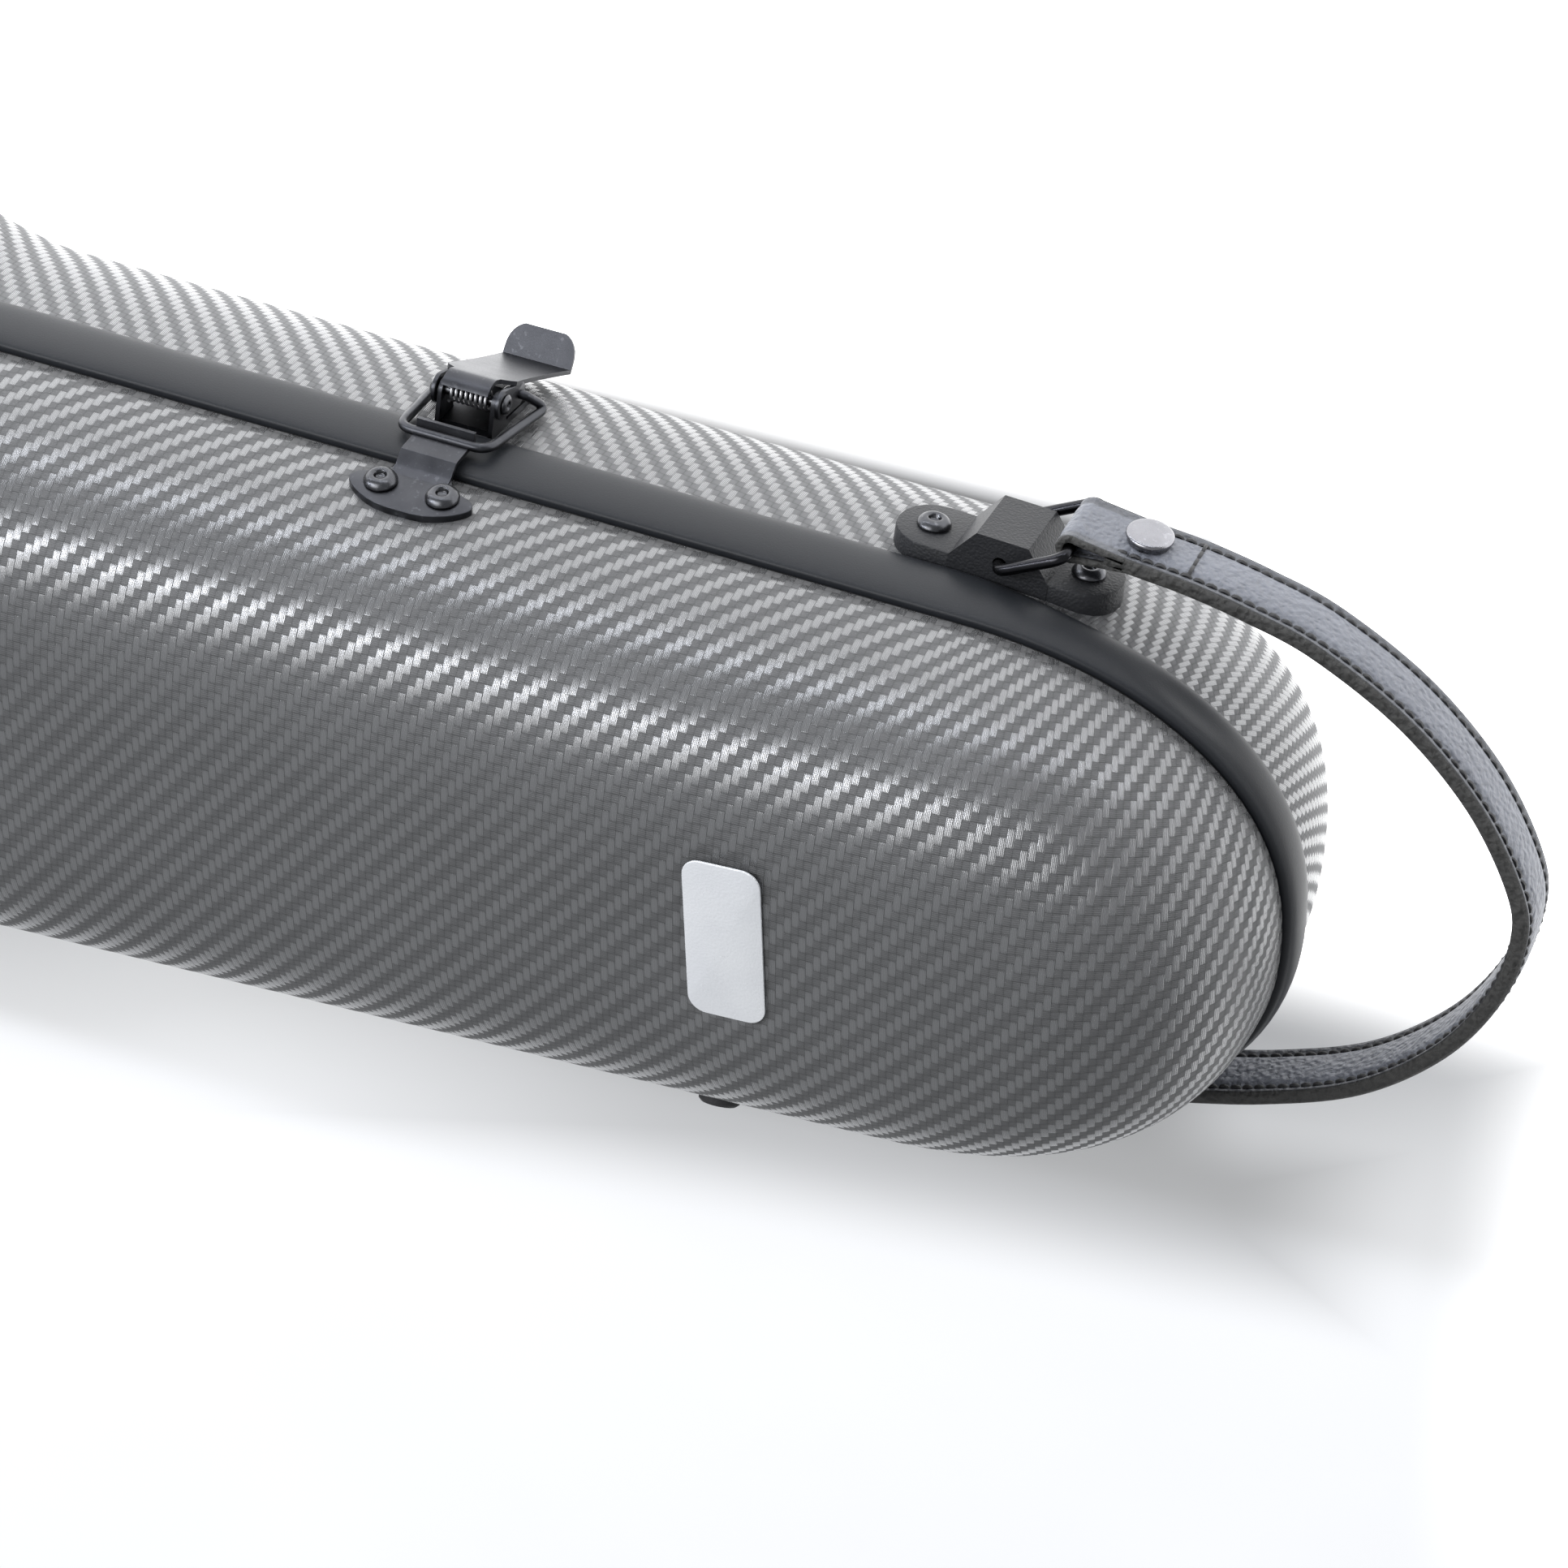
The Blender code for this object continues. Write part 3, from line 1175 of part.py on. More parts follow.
for bracket_name, bracket_along in zip(("narrow", "wide"), BRACKET_PLACES):
    bracket_frame, bracket_body = bracket(f"bracket_{bracket_name}_latch", bracket_along)
    ring_made = ring(f"ring_{bracket_name}_latch", bracket_frame)
    rivets = bracket_rivets(f"bracket_{bracket_name}_latch", bracket_frame)
    for source in (bracket_body, ring_made, *rivets):
        mirrored(source, source.name.replace("_latch", "_hinge"))
    if bracket_name == "narrow":
        strap_route = strap(bracket_frame)
        strap_snap("snap_latch", strap_route, 1)
        strap_snap("snap_hinge", strap_route, -1)
for hinge_number, hinge_along in enumerate(HINGE_PLACES, 1):
    hinge(hinge_number, hinge_along)
handle()
feet()
badge()
for hold_number, (hold_along, hold_across) in enumerate(HOLD_PLACES, 1):
    bow_holder(f"bow_holder_{hold_number}", hold_along, hold_across)
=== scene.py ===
"""A shaped violin case with its latches, strap and linings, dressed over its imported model."""

from math import atan, atan2, cos, degrees, exp, hypot, pi, radians, sin, sqrt

import bmesh
import bpy
from mathutils import Matrix, Vector, noise


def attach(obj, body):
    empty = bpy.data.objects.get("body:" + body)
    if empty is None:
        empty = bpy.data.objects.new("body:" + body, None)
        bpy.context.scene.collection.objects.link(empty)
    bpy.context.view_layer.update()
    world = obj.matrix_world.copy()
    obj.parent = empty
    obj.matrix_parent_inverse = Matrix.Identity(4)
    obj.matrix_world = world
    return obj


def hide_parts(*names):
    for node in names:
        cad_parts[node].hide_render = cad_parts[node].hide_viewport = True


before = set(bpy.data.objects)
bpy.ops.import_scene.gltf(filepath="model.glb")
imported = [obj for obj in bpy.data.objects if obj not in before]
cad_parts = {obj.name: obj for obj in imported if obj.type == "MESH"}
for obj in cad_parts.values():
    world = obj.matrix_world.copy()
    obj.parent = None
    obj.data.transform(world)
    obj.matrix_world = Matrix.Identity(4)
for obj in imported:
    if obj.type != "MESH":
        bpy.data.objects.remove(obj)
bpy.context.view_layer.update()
scene = bpy.context.scene
scene.view_settings.view_transform = "Standard"

# Camera. It looks down over the latch side at the narrow end, with a long lens from a good metre away, so
# the neck part fills the picture and the wide end stays out of it.
LOOK_TURN, LOOK_DOWN, LOOK_ROLL = radians(21.92), radians(37.16), radians(0.81)
EYE, NEAREST = (0.6523, 0.8093, 1.0688), 0.05
FOCAL_PIXELS, PICTURE_PIXELS, SENSOR = 6290.0, 1932.0, 36.0
camera = bpy.data.objects.new("camera", bpy.data.cameras.new("camera"))
scene.collection.objects.link(camera)
scene.camera = camera
camera.data.sensor_width = SENSOR
camera.data.lens = SENSOR * FOCAL_PIXELS / PICTURE_PIXELS
camera.data.clip_start = NEAREST
backwards = Vector((sin(LOOK_TURN) * cos(LOOK_DOWN), sin(LOOK_DOWN), cos(LOOK_TURN) * cos(LOOK_DOWN)))
sideways = Vector((cos(LOOK_TURN), 0, -sin(LOOK_TURN)))
turn = Matrix((sideways, backwards.cross(sideways), backwards)).transposed()
camera.matrix_world = Matrix.Translation(EYE) @ (turn @ Matrix.Rotation(LOOK_ROLL, 3, "Z")).to_4x4()

# Studio. A pale seamless floor, a bright even surround, a large soft box over the latch side, and two long
# strips whose reflections run along the case. The floor's shade and glow are painted in its material.
class Finish:
    """A material while its nodes are laid."""

    def __init__(self, name):
        self.material = bpy.data.materials.new(name)
        self.material.use_nodes = True
        self.tree = self.material.node_tree
        self.tree.nodes.clear()

    def node(self, kind, inputs, out=0, **settings):
        made = self.tree.nodes.new("ShaderNode" + kind)
        for name, value in settings.items():
            setattr(made, name, value)
        for key, value in inputs.items():
            if isinstance(value, Grain):
                self.tree.links.new(value.socket, made.inputs[key])
            else:
                made.inputs[key].default_value = value
        return Grain(self, made.outputs[out]) if out is not None else made

    def spot(self):
        return self.node("TexCoord", {}, out=3)

    def clouds(self, place, scale, detail, distortion=0.0):
        inputs = {"Vector": place, "Scale": scale, "Detail": detail, "Distortion": distortion}
        return self.node("TexNoise", inputs)

    def pebbles(self, place, scale):
        return self.node("TexVoronoi", {"Vector": place, "Scale": scale}, feature="SMOOTH_F1")

    def split(self, vector):
        """The three parts of a vector."""
        parts = self.node("SeparateXYZ", {0: vector}, out=None)
        return [Grain(self, part) for part in parts.outputs]

    def done(self, color, roughness, bump, depth, specular=0.5, **more):
        """The finished material. Its bump runs from nought to one over the given depth."""
        inputs = {"Base Color": color, "Roughness": roughness, "Specular IOR Level": specular}
        inputs.update({name.replace("_", " "): value for name, value in more.items()})
        inputs["Normal"] = self.node("Bump", {"Height": bump, "Distance": depth, "Strength": 1.0})
        self.node("OutputMaterial", {"Surface": self.node("BsdfPrincipled", inputs)}, out=None)
        return self.material


def laid(operation):
    return lambda grain, other: grain.math(operation, other)


class Grain:
    """A value that varies over a surface: arithmetic on it lays Math nodes."""

    def __init__(self, finish, socket):
        self.finish, self.socket = finish, socket

    def math(self, operation, *others):
        return self.finish.node("Math", {0: self, **dict(enumerate(others, 1))}, operation=operation)

    def __rsub__(self, other):
        return self * -1.0 + other

    __add__, __sub__, __mul__, __truediv__ = laid("ADD"), laid("SUBTRACT"), laid("MULTIPLY"), laid("DIVIDE")
    __mod__, __lt__ = laid("FLOORED_MODULO"), laid("LESS_THAN")

    def step(self, start, stop):
        """Nought below start, one above stop, and a soft rise between."""
        ends = {"Value": self, "From Min": start, "From Max": stop}
        return self.finish.node("MapRange", ends, interpolation_type="SMOOTHSTEP")

    def pick(self, first, second):
        """The first colour at nought, the second at one or more."""
        first, second = (end if isinstance(end, Grain) else (*end, 1.0) for end in (first, second))
        return self.finish.node("Mix", {0: self, 6: first, 7: second}, out=2, data_type="RGBA")


def add_piece(name, shape, finish, angle_deg, body=None, slot=None, *nodes):
    """The bmesh as an object at the origin, smooth up to the angle. It rides on the body with the finish, and
    stands for the nodes. The slot is not used."""
    mesh = bpy.data.meshes.new(name)
    shape.to_mesh(mesh)
    shape.free()
    mesh.shade_smooth()
    mesh.set_sharp_from_angle(angle=radians(angle_deg))
    made = bpy.data.objects.new(name, mesh)
    scene.collection.objects.link(made)
    made.data.materials.append(finish)
    if body:
        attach(made, body)
    if nodes:
        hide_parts(*nodes)
    return made


SHADE_SLOPE, SHADE_SIDE, SHADE_RIM, SHADE_INNER = 0.1, 0.205, (-0.055, -0.012), (0.0, 0.03)
SHADE_START, SHADE_TIP, SHADE_END = (0.0, 0.22), (0.33, 0.37), (0.36, 0.42)
SHADED, UNSHADED, FIBRE_TONE = 0.52, 0.34, 0.04
GLOW_BEHIND, GLOW_TIP, GLOW_BEFORE = (0.045, 0.065), (0.335, 0.355), (0.42, 0.52)
GLOW_TIP_SIDE, GLOW_BEFORE_SIDE, GLOW_FADE, GLOW_LEFT = (-0.11, -0.05), (-0.34, -0.2), (0.3, 0.5), 0.07
BACK_START, BACK_END, BACK_GLOW, FLOOR_GLOW = (0.8, 0.84), (0.94, 0.98), 7.0, 2.0
FLOOR_SIZE, FLOOR_BELOW = 8.0, 0.0006
paper = Finish("floor_paper")
spot = paper.spot()
fibre = paper.clouds(spot, 9.0, 3.0)
x, y, _ = paper.split(spot)
beside = y - x * SHADE_SLOPE + SHADE_SIDE
lit = (1.0 - beside.step(*SHADE_RIM)).math("MAXIMUM", x.step(*SHADE_END))
lit = lit.math("MAXIMUM", beside.step(*SHADE_INNER) * x.step(*SHADE_TIP))
lit = lit.math("MAXIMUM", 1.0 - x.step(*SHADE_START))
tone = fibre * FIBRE_TONE + lit * UNSHADED + SHADED
near = y.step(*GLOW_BEHIND).math("MAXIMUM", x.step(*GLOW_TIP) * y.step(*GLOW_TIP_SIDE))
near = near.math("MAXIMUM", x.step(*GLOW_BEFORE) * y.step(*GLOW_BEFORE_SIDE))
far = y.step(*BACK_START) * (1.0 - y.step(*BACK_END)) * BACK_GLOW
glow = near * (y.step(*GLOW_FADE) * (GLOW_LEFT - 1.0) + 1.0) + far
floor_paper = paper.done(tone, 0.6, fibre, 0.0002, 0.2, Emission_Color=glow, Emission_Strength=FLOOR_GLOW)
shape = bmesh.new()
bmesh.ops.create_grid(shape, x_segments=8, y_segments=8, size=FLOOR_SIZE)
bmesh.ops.translate(shape, verts=shape.verts, vec=(0, 0, -FLOOR_BELOW))
add_piece("studio_floor", shape, floor_paper, 35.0)

SURROUND_COLOR, SURROUND_STRENGTH = (0.95, 0.97, 1.0, 1.0), 0.62
scene.world = bpy.data.worlds.new("surround")
scene.world.use_nodes = True
surround = scene.world.node_tree.nodes["Background"]
surround.inputs["Color"].default_value = SURROUND_COLOR
surround.inputs["Strength"].default_value = SURROUND_STRENGTH
WHITE, COOL = (1.0, 1.0, 1.0), (0.9, 0.93, 1.0)
SOFT_BOXES = (
    ("overhead_box", (-0.5, 1.3, 2.1), (0.1, 0.0, 0.0), 1.6, 1.2, 38.0, WHITE),
    ("long_strip", (-1.45, 0.97, 1.32), (-0.6, 0.06, 0.14), 1.8, 0.085, 27.0, COOL),
    ("low_strip", (-0.3, 1.55, 0.2), (0.2, 0.06, 0.12), 3.2, 0.06, 14.0, COOL),
)
for name, place, target, length, width, power, color in SOFT_BOXES:
    box = bpy.data.lights.new(name, "AREA")
    box.shape, box.size, box.size_y, box.energy, box.color = "RECTANGLE", length, width, power, color
    lamp = bpy.data.objects.new(name, box)
    scene.collection.objects.link(lamp)
    facing = (Vector(place) - Vector(target)).normalized()
    across = (Vector((1, 0, 0)) - facing * facing.x).normalized()
    turn = Matrix((across, facing.cross(across), facing)).transposed()
    lamp.matrix_world = Matrix.Translation(place) @ turn.to_4x4()

# Shells. Base and lid are two trays, pressed from grey sheet under a lacquered film that is embossed like a
# woven tow cloth. The film is draped from each tray's flat over its rounding, and the weave follows it.
CASE_LENGTH, NARROW_WIDTH, WIDE_WIDTH = 0.79, 0.15, 0.262
TIP_LENGTH, BUTT_LENGTH, FLARE_START, FLARE_LENGTH = 0.0919, 0.11, 0.375, 0.12
TAPER, END_FULLNESS = 0.0441, 2.27
SHELL_WALL, PARTING, LID_GAP = 0.0025, 0.09075, 0.0012
BASE_DEPTH, BASE_ROUND, BASE_FULLNESS = 0.07565, 0.0579, 2.36
LID_DEPTH, LID_ROUND, LID_FULLNESS = 0.0617, 0.0638, 2.3
BAND_HEIGHT, BAND_LIP, GAP = 0.0151, 0.0016, 0.0003
TIP_STEPS, NECK_STEPS, FLARE_STEPS, BODY_STEPS = 30, 44, 26, 24
TIP_SPINE, BUTT_SPINE = 0.012, 0.05
WALL_ROWS, FLAT_ROWS = 30, 4


def soft(share):
    """Nought to one, level at both ends."""
    share = min(1.0, max(0.0, share))
    return 3 * share**2 - 2 * share**3


def round_share(near):
    return max(0.0, 1 - near**END_FULLNESS) ** (1 / END_FULLNESS)


def half_width(along, inset=0.0):
    """Half the case's width at a distance from its tip, drawn in by the inset."""
    narrow, wide = NARROW_WIDTH / 2 - inset, WIDE_WIDTH / 2 - inset
    if along < TIP_LENGTH:
        widen = 1 + TAPER * (along - TIP_LENGTH) / (NARROW_WIDTH / 2)
        return narrow * round_share((TIP_LENGTH - along) / (TIP_LENGTH - inset)) * widen
    if along <= FLARE_START:
        return narrow + TAPER * (along - TIP_LENGTH)
    if along < FLARE_START + FLARE_LENGTH:
        start, t = narrow + TAPER * (FLARE_START - TIP_LENGTH), (along - FLARE_START) / FLARE_LENGTH
        return start + (wide - start) * soft(t) + TAPER * FLARE_LENGTH * (t**3 - 2 * t**2 + t)
    if along <= CASE_LENGTH - BUTT_LENGTH:
        return wide
    return wide * round_share((along - CASE_LENGTH + BUTT_LENGTH) / (BUTT_LENGTH - inset))


def stations(inset):
    """Distances from the tip of the outline's points, closer together round both ends."""
    bend = [cos(pi / 2 * k / TIP_STEPS) ** (2 / END_FULLNESS) for k in range(TIP_STEPS)]
    flare_end, butt = FLARE_START + FLARE_LENGTH, CASE_LENGTH - BUTT_LENGTH
    found = [TIP_LENGTH - (TIP_LENGTH - inset) * share for share in bend]
    for start, end, steps in ((TIP_LENGTH, FLARE_START, NECK_STEPS), (FLARE_START, flare_end, FLARE_STEPS),
                              (flare_end, butt, BODY_STEPS)):
        found += [start + (end - start) * k / steps for k in range(steps)]
    return found + [butt] + [butt + (BUTT_LENGTH - inset) * share for share in reversed(bend)]


def level_line(inset, height, places=None):
    """The whole outline, from the tip along the latch side and back along the hinge side."""
    line = [Vector((CASE_LENGTH / 2 - u, half_width(u, inset), height)) for u in places or stations(inset)]
    return line + [Vector((p.x, -p.y, p.z)) for p in reversed(line[:-1])]


def wall_levels(depth, width, fullness, rows, skin=0.0):
    """(inset, rise) pairs up a rounded wall, for a surface that far inside the outer one."""
    bends = [pi / 2 * k / rows for k in range(rows + 1)]
    return [(skin + (width - skin) * (1 - cos(b) ** (2 / fullness)),
             (depth - skin) * sin(b) ** (2 / fullness)) for b in bends]


def raw_grid(rows):
    """A grid over rows of points, and the row and column of each vertex."""
    columns, count = len(rows[0]) - 1, len(rows) - 1
    shape = bmesh.new()
    bmesh.ops.create_grid(shape, x_segments=columns, y_segments=count, size=0.5)
    places = [(round((v.co.y + 0.5) * count), round((v.co.x + 0.5) * columns)) for v in shape.verts]
    for vertex, (row, column) in zip(shape.verts, places):
        vertex.co = rows[row][column]
    return shape, places


def merged(shape, distance, shortest):
    """The shape with its meeting points made one and its faces turned outwards."""
    bmesh.ops.remove_doubles(shape, verts=shape.verts, dist=distance)
    bmesh.ops.dissolve_degenerate(shape, edges=shape.edges, dist=shortest)
    bmesh.ops.recalc_face_normals(shape, faces=shape.faces)
    return shape


def drape(lines):
    """A grid over level lines from the flat outwards, with its weave unrolled in metres."""
    shape, places = raw_grid(lines)
    cloth = shape.loops.layers.uv.new("weave")
    unrolled = [[Vector((p.x, p.y)) for p in lines[0]]]
    for before, line in zip(lines, lines[1:]):
        row = []
        for place, last, here in zip(unrolled[-1], before, line):
            run = Vector((here.x - last.x, here.y - last.y))
            away = run if run.length > 1e-7 else Vector((0, here.y))
            row.append(place + away.normalized() * (here - last).length)
        unrolled.append(row)
    for vertex, (row, column) in zip(shape.verts, places):
        for loop in vertex.link_loops:
            loop[cloth].uv = unrolled[row][column]
    return merged(shape, 1e-6, 1e-7)


def flat_lines(inset, height):
    """Level lines from a spine along the middle out to the flat's edge."""
    edge = level_line(inset, height)
    reach = CASE_LENGTH / 2 - inset
    spine = [Vector((max(BUTT_SPINE - reach, min(reach - TIP_SPINE, p.x)), 0, height)) for p in edge]
    return [[middle.lerp(p, k / FLAT_ROWS) for middle, p in zip(spine, edge)] for k in range(FLAT_ROWS)]


WARP_TOW, WEFT_TOW, RELIEF, PRESSED = 0.002, 0.00242, 0.0001, 3.0
TOW_LENGTH_BEND, TOW_CROWN_BEND, STRANDS, STRAND_SHARE, WANDER = 0.28, 0.32, 4.5, 0.2, 0.1
SHADE_CLOUD, SHADE_FLECK, ROUGH, ROUGH_WARP, ROUGH_CLOUD, ROUGH_LOW = 0.2, 0.24, 0.66, 0.44, 0.05, 0.06
METAL, METAL_WARP, LACQUER, LACQUER_WARP, LACQUER_ROUGH = 0.42, 0.18, 0.06, 0.1, 0.22


def woven(name, dark, warp_painted_sheen, recess=None):
    """Grey film embossed as a two-over-two twill. Its tows are 2.0 mm across by 2.4 mm along, and those
    across the case are glossier and painted lighter, a painted sheen. The grooves between tows are painted
    darker, a painted shade. A recess may be pressed round a badge."""
    film = Finish(name)
    cloth, spot = film.node("UVMap", {}, uv_map="weave"), film.spot()
    across, along, _ = film.split(cloth)
    across, along = across / WARP_TOW, along / WEFT_TOW
    warp_run = (along - across.math("FLOOR")) % 4.0
    weft_run = (across - along.math("FLOOR") + 2.0) % 4.0
    warp_up = warp_run < 2.0
    wobble = film.clouds(cloth, 700.0, 2.0)
    towed = []
    for side, run in ((across, warp_run), (along, weft_run)):
        lens = (run * (pi / 2)).math("SINE").math("ABSOLUTE").math("POWER", TOW_LENGTH_BEND)
        crown = ((side % 1.0) * pi).math("SINE").math("POWER", TOW_CROWN_BEND)
        strand = ((side + wobble * WANDER) * (2 * pi * STRANDS)).math("SINE") * STRAND_SHARE
        towed.append(lens * crown + strand)
    height = towed[1] + warp_up * (towed[0] - towed[1])
    cloudy, fleck = film.clouds(spot, 22.0, 4.0), film.clouds(cloth, 2600.0, 1.0).step(0.6, 0.78)
    # Painted sheen: the tows across the case are painted lighter than those along it.
    shade = warp_up * (warp_painted_sheen - dark) + cloudy * SHADE_CLOUD + fleck * SHADE_FLECK + dark
    # Painted shade: where the relief dips between tows, the colour is painted darker.
    color = (shade * height.step(-0.1, 0.8)).pick(FILM_DARK, FILM_LIGHT)
    rough = ROUGH - warp_up * ROUGH_WARP + cloudy * ROUGH_CLOUD + (1.0 - height) * ROUGH_LOW
    if recess:
        centre, half_length, half_width_of, corner, turned_by = recess
        on_plate = film.node("Mapping", {0: spot, 1: centre, 2: (0, 0, turned_by)}, vector_type="TEXTURE")
        x, y, _ = film.split(on_plate)
        over = [(side.math("ABSOLUTE") - (half - corner)).math("MAXIMUM", 0.0)
                for side, half in ((x, half_length), (y, half_width_of))]
        edge = (over[0] * over[0] + over[1] * over[1]).math("SQRT") - corner
        height = height + edge.step(0.0006, 0.003) * PRESSED
    coat = warp_up * LACQUER_WARP + LACQUER
    return film.done(color, rough, height, RELIEF, Metallic=warp_up * METAL_WARP + METAL, Coat_Weight=coat,
                     Coat_Roughness=LACQUER_ROUGH)


BADGE_CENTRE = (CASE_LENGTH / 2 - 0.1268, 0.0068, PARTING + LID_DEPTH)
BADGE_LENGTH, BADGE_WIDTH, BADGE_CORNER, BADGE_TURN = 0.048, 0.0212, 0.005, radians(2.5)
FILM_DARK, FILM_LIGHT = (0.042, 0.04242, 0.04326), (0.18, 0.1818, 0.1854)
badge_recess = (BADGE_CENTRE, BADGE_WIDTH / 2, BADGE_LENGTH / 2, BADGE_CORNER, BADGE_TURN)
# Both shells share one film, but the lid's copy gets the wider painted contrast between its tows and the
# base's the narrower, for how light falls on each shell.
base_film, lid_film = woven("woven_base", 0.38, 0.66), woven("woven_lid", 0.2, 0.72, badge_recess)


def shell_wall(piece):
    wall = piece.modifiers.new("sheet", "SOLIDIFY")
    wall.thickness, wall.offset, wall.use_even_offset = SHELL_WALL, -1.0, True


lid_edge = PARTING + LID_GAP
lid_levels = wall_levels(LID_DEPTH - LID_GAP, LID_ROUND, LID_FULLNESS, WALL_ROWS)[::-1]
lid_lines = flat_lines(LID_ROUND, PARTING + LID_DEPTH)
lid_lines += [level_line(inset, lid_edge + rise) for inset, rise in lid_levels]
shell_wall(add_piece("lid_tray", drape(lid_lines), lid_film, 35.0, "lid", "woven_shell", "lid_shell"))

base_levels = wall_levels(BASE_DEPTH, BASE_ROUND, BASE_FULLNESS, WALL_ROWS)[::-1]
base_lines = flat_lines(BASE_ROUND, 0.0)
base_lines += [level_line(inset, BASE_DEPTH - rise) for inset, rise in base_levels]
base_lines.append(level_line(0.0, PARTING - BAND_LIP - GAP))
shell_wall(add_piece("base_tray", drape(base_lines), base_film, 35.0, "base", "woven_shell", "base_shell"))

# Rim band. A dark rubber-coated rail wraps the base tray's edge and turns in over its top. It is narrower
# round both ends than along the sides, and is pressed in a little where it rounds the tip's corners.
BAND_PROUD, BAND_REACH, BAND_SKIRT, SKIRT_START, SKIRT_FULL = 0.0029, 0.0032, 0.004, 0.055, 0.1
BAND_STEPS, CREASE_AT, CREASE_SPAN, CREASE, RUBBED_LIGHTER = 20, 0.03, 0.012, 0.001, 1.8
BAND_EDGE = 0.0002


def moulded(name, color, rough, scale, depth, rub=0.25, specular=0.5):
    """A moulded surface: fine pimples, soft clouds of tone and rubbed lighter specks."""
    cast = Finish(name)
    spot = cast.spot()
    pimple, cloudy = cast.pebbles(spot, scale), cast.clouds(spot, 30.0, 5.0)
    rubbed = cast.clouds(spot, scale * 0.6, 2.0).step(0.58, 0.75)
    shade = (cloudy * 0.4 + rubbed * rub).pick(color, [part * RUBBED_LIGHTER for part in color])
    rough = cloudy * 0.14 + rubbed * 0.06 + rough
    return cast.done(shade, rough, pimple + cloudy * 0.4, depth, specular)


def skirt(along):
    """How much further down the band reaches along the sides than at the ends."""
    return BAND_SKIRT * soft((min(along, CASE_LENGTH - along) - SKIRT_START) / (SKIRT_FULL - SKIRT_START))


band_middle = (PARTING + BASE_DEPTH + GAP) / 2
band_half = (PARTING - BASE_DEPTH - GAP) / 2
band_section = [(-GAP, PARTING - BAND_LIP, 0.0), (BAND_REACH, PARTING - BAND_LIP, 0.0),
                (BAND_REACH, PARTING - BAND_EDGE, 0.0), (BAND_REACH - BAND_EDGE, PARTING, 0.0)]
for step in range(BAND_STEPS + 1):
    bend = pi / 2 - pi * step / BAND_STEPS
    bulge = (BAND_PROUD - 2 * GAP) * abs(cos(bend)) ** (2 / END_FULLNESS)
    band_section.append((-2 * GAP - bulge, band_middle + band_half * sin(bend), (1 - sin(bend)) / 2))
band_section += [(-GAP, BASE_DEPTH + GAP, 1.0), band_section[0]]
band_rows = []
for inset, height, lowered in band_section:
    row = level_line(inset, height)
    places = stations(inset)
    for point, along in zip(row, places + places[-2::-1]):
        point.z -= lowered * skirt(along)
        if inset < -2 * GAP:
            near = exp(-(((along - CREASE_AT) / CREASE_SPAN) ** 2)) * sin(pi * lowered) ** 2
            away = Vector((point.x - CASE_LENGTH / 2 + TIP_LENGTH, point.y, 0)).normalized()
            point -= away * CREASE * near
    band_rows.append(row)
band_coat = moulded("band_coat", (0.009, 0.01, 0.012), 0.38, 2400.0, 0.00002, 0.2, specular=0.2)
add_piece("rim_rail", drape(band_rows), band_coat, 60.0, "base", "band_rubber", "rim_band")

# Seal. A thin black lip of sponge rubber is bonded along the rail's top, and the lid's edge closes on it.
SEAL_SETBACK, SEAL_BULGE, SEAL_LOW, SEAL_HIGH = 0.0004, 0.0001, PARTING + 0.0003, PARTING + 0.0009
sponge = moulded("sponge_rubber", (0.006, 0.006, 0.006), 0.75, 3200.0, 0.00006, specular=0.2)
inner, middle = SHELL_WALL + SEAL_SETBACK, (SEAL_LOW + SEAL_HIGH) / 2
seal_section = [(SEAL_SETBACK, SEAL_LOW), (SEAL_SETBACK - SEAL_BULGE, middle), (SEAL_SETBACK, SEAL_HIGH)]
seal_section += [(inner, SEAL_HIGH), (inner + SEAL_BULGE, middle), (inner, SEAL_LOW), seal_section[0]]
seal_rows = [level_line(inset, height) for inset, height in seal_section]
add_piece("sponge_lip", drape(seal_rows), sponge, 60.0, "base", "seal_rubber", "rim_seal")

# Badge. A white lacquered plate is glued on the lid's flat, inside a shallow recess. It is left bare, with
# fine dimples in its film.
BADGE_RISE, BADGE_EDGE, BADGE_DIM, BADGE_WHITE = 0.001, 0.0003, (0.46, 0.47, 0.49), (0.56, 0.57, 0.58)


def grid_over(rows, fill=False):
    """A closed up grid over rows of points, whose open ends may be filled."""
    shape = merged(raw_grid(rows)[0], 2e-6, 1e-6)
    if fill:
        bmesh.ops.holes_fill(shape, edges=shape.edges, sides=0)
        bmesh.ops.recalc_face_normals(shape, faces=shape.faces)
    return shape


def mirrored(points):
    """The points and their mirror images, back from the last."""
    return points + [(-x, *rest) for x, *rest in reversed(points)]


def slab(outline, low, high, edge, steps=4):
    """A plate over a convex outline, level from low to high, with rounded edges."""
    line = [Vector(p) for p in (*outline, outline[0])]
    middle = sum(line[1:], Vector((0, 0))) / len(outline)
    turns = [pi / 2 * k / steps for k in range(steps + 1)]
    levels = [(edge * (1 - sin(t)), low + edge * (1 - cos(t))) for t in turns]
    levels += [(edge * (1 - sin(t)), high - edge * (1 - cos(t))) for t in reversed(turns)]
    rows = [[(*(p - (p - middle).normalized() * drawn), height) for p in line] for drawn, height in levels]
    return grid_over([[(*middle, low)] * len(line), *rows, [(*middle, high)] * len(line)])


def arc(centre, radius, start_deg, end_deg, steps):
    turns = [radians(start_deg + (end_deg - start_deg) * k / steps) for k in range(steps + 1)]
    return [(centre[0] + radius * cos(t), centre[1] + radius * sin(t)) for t in turns]


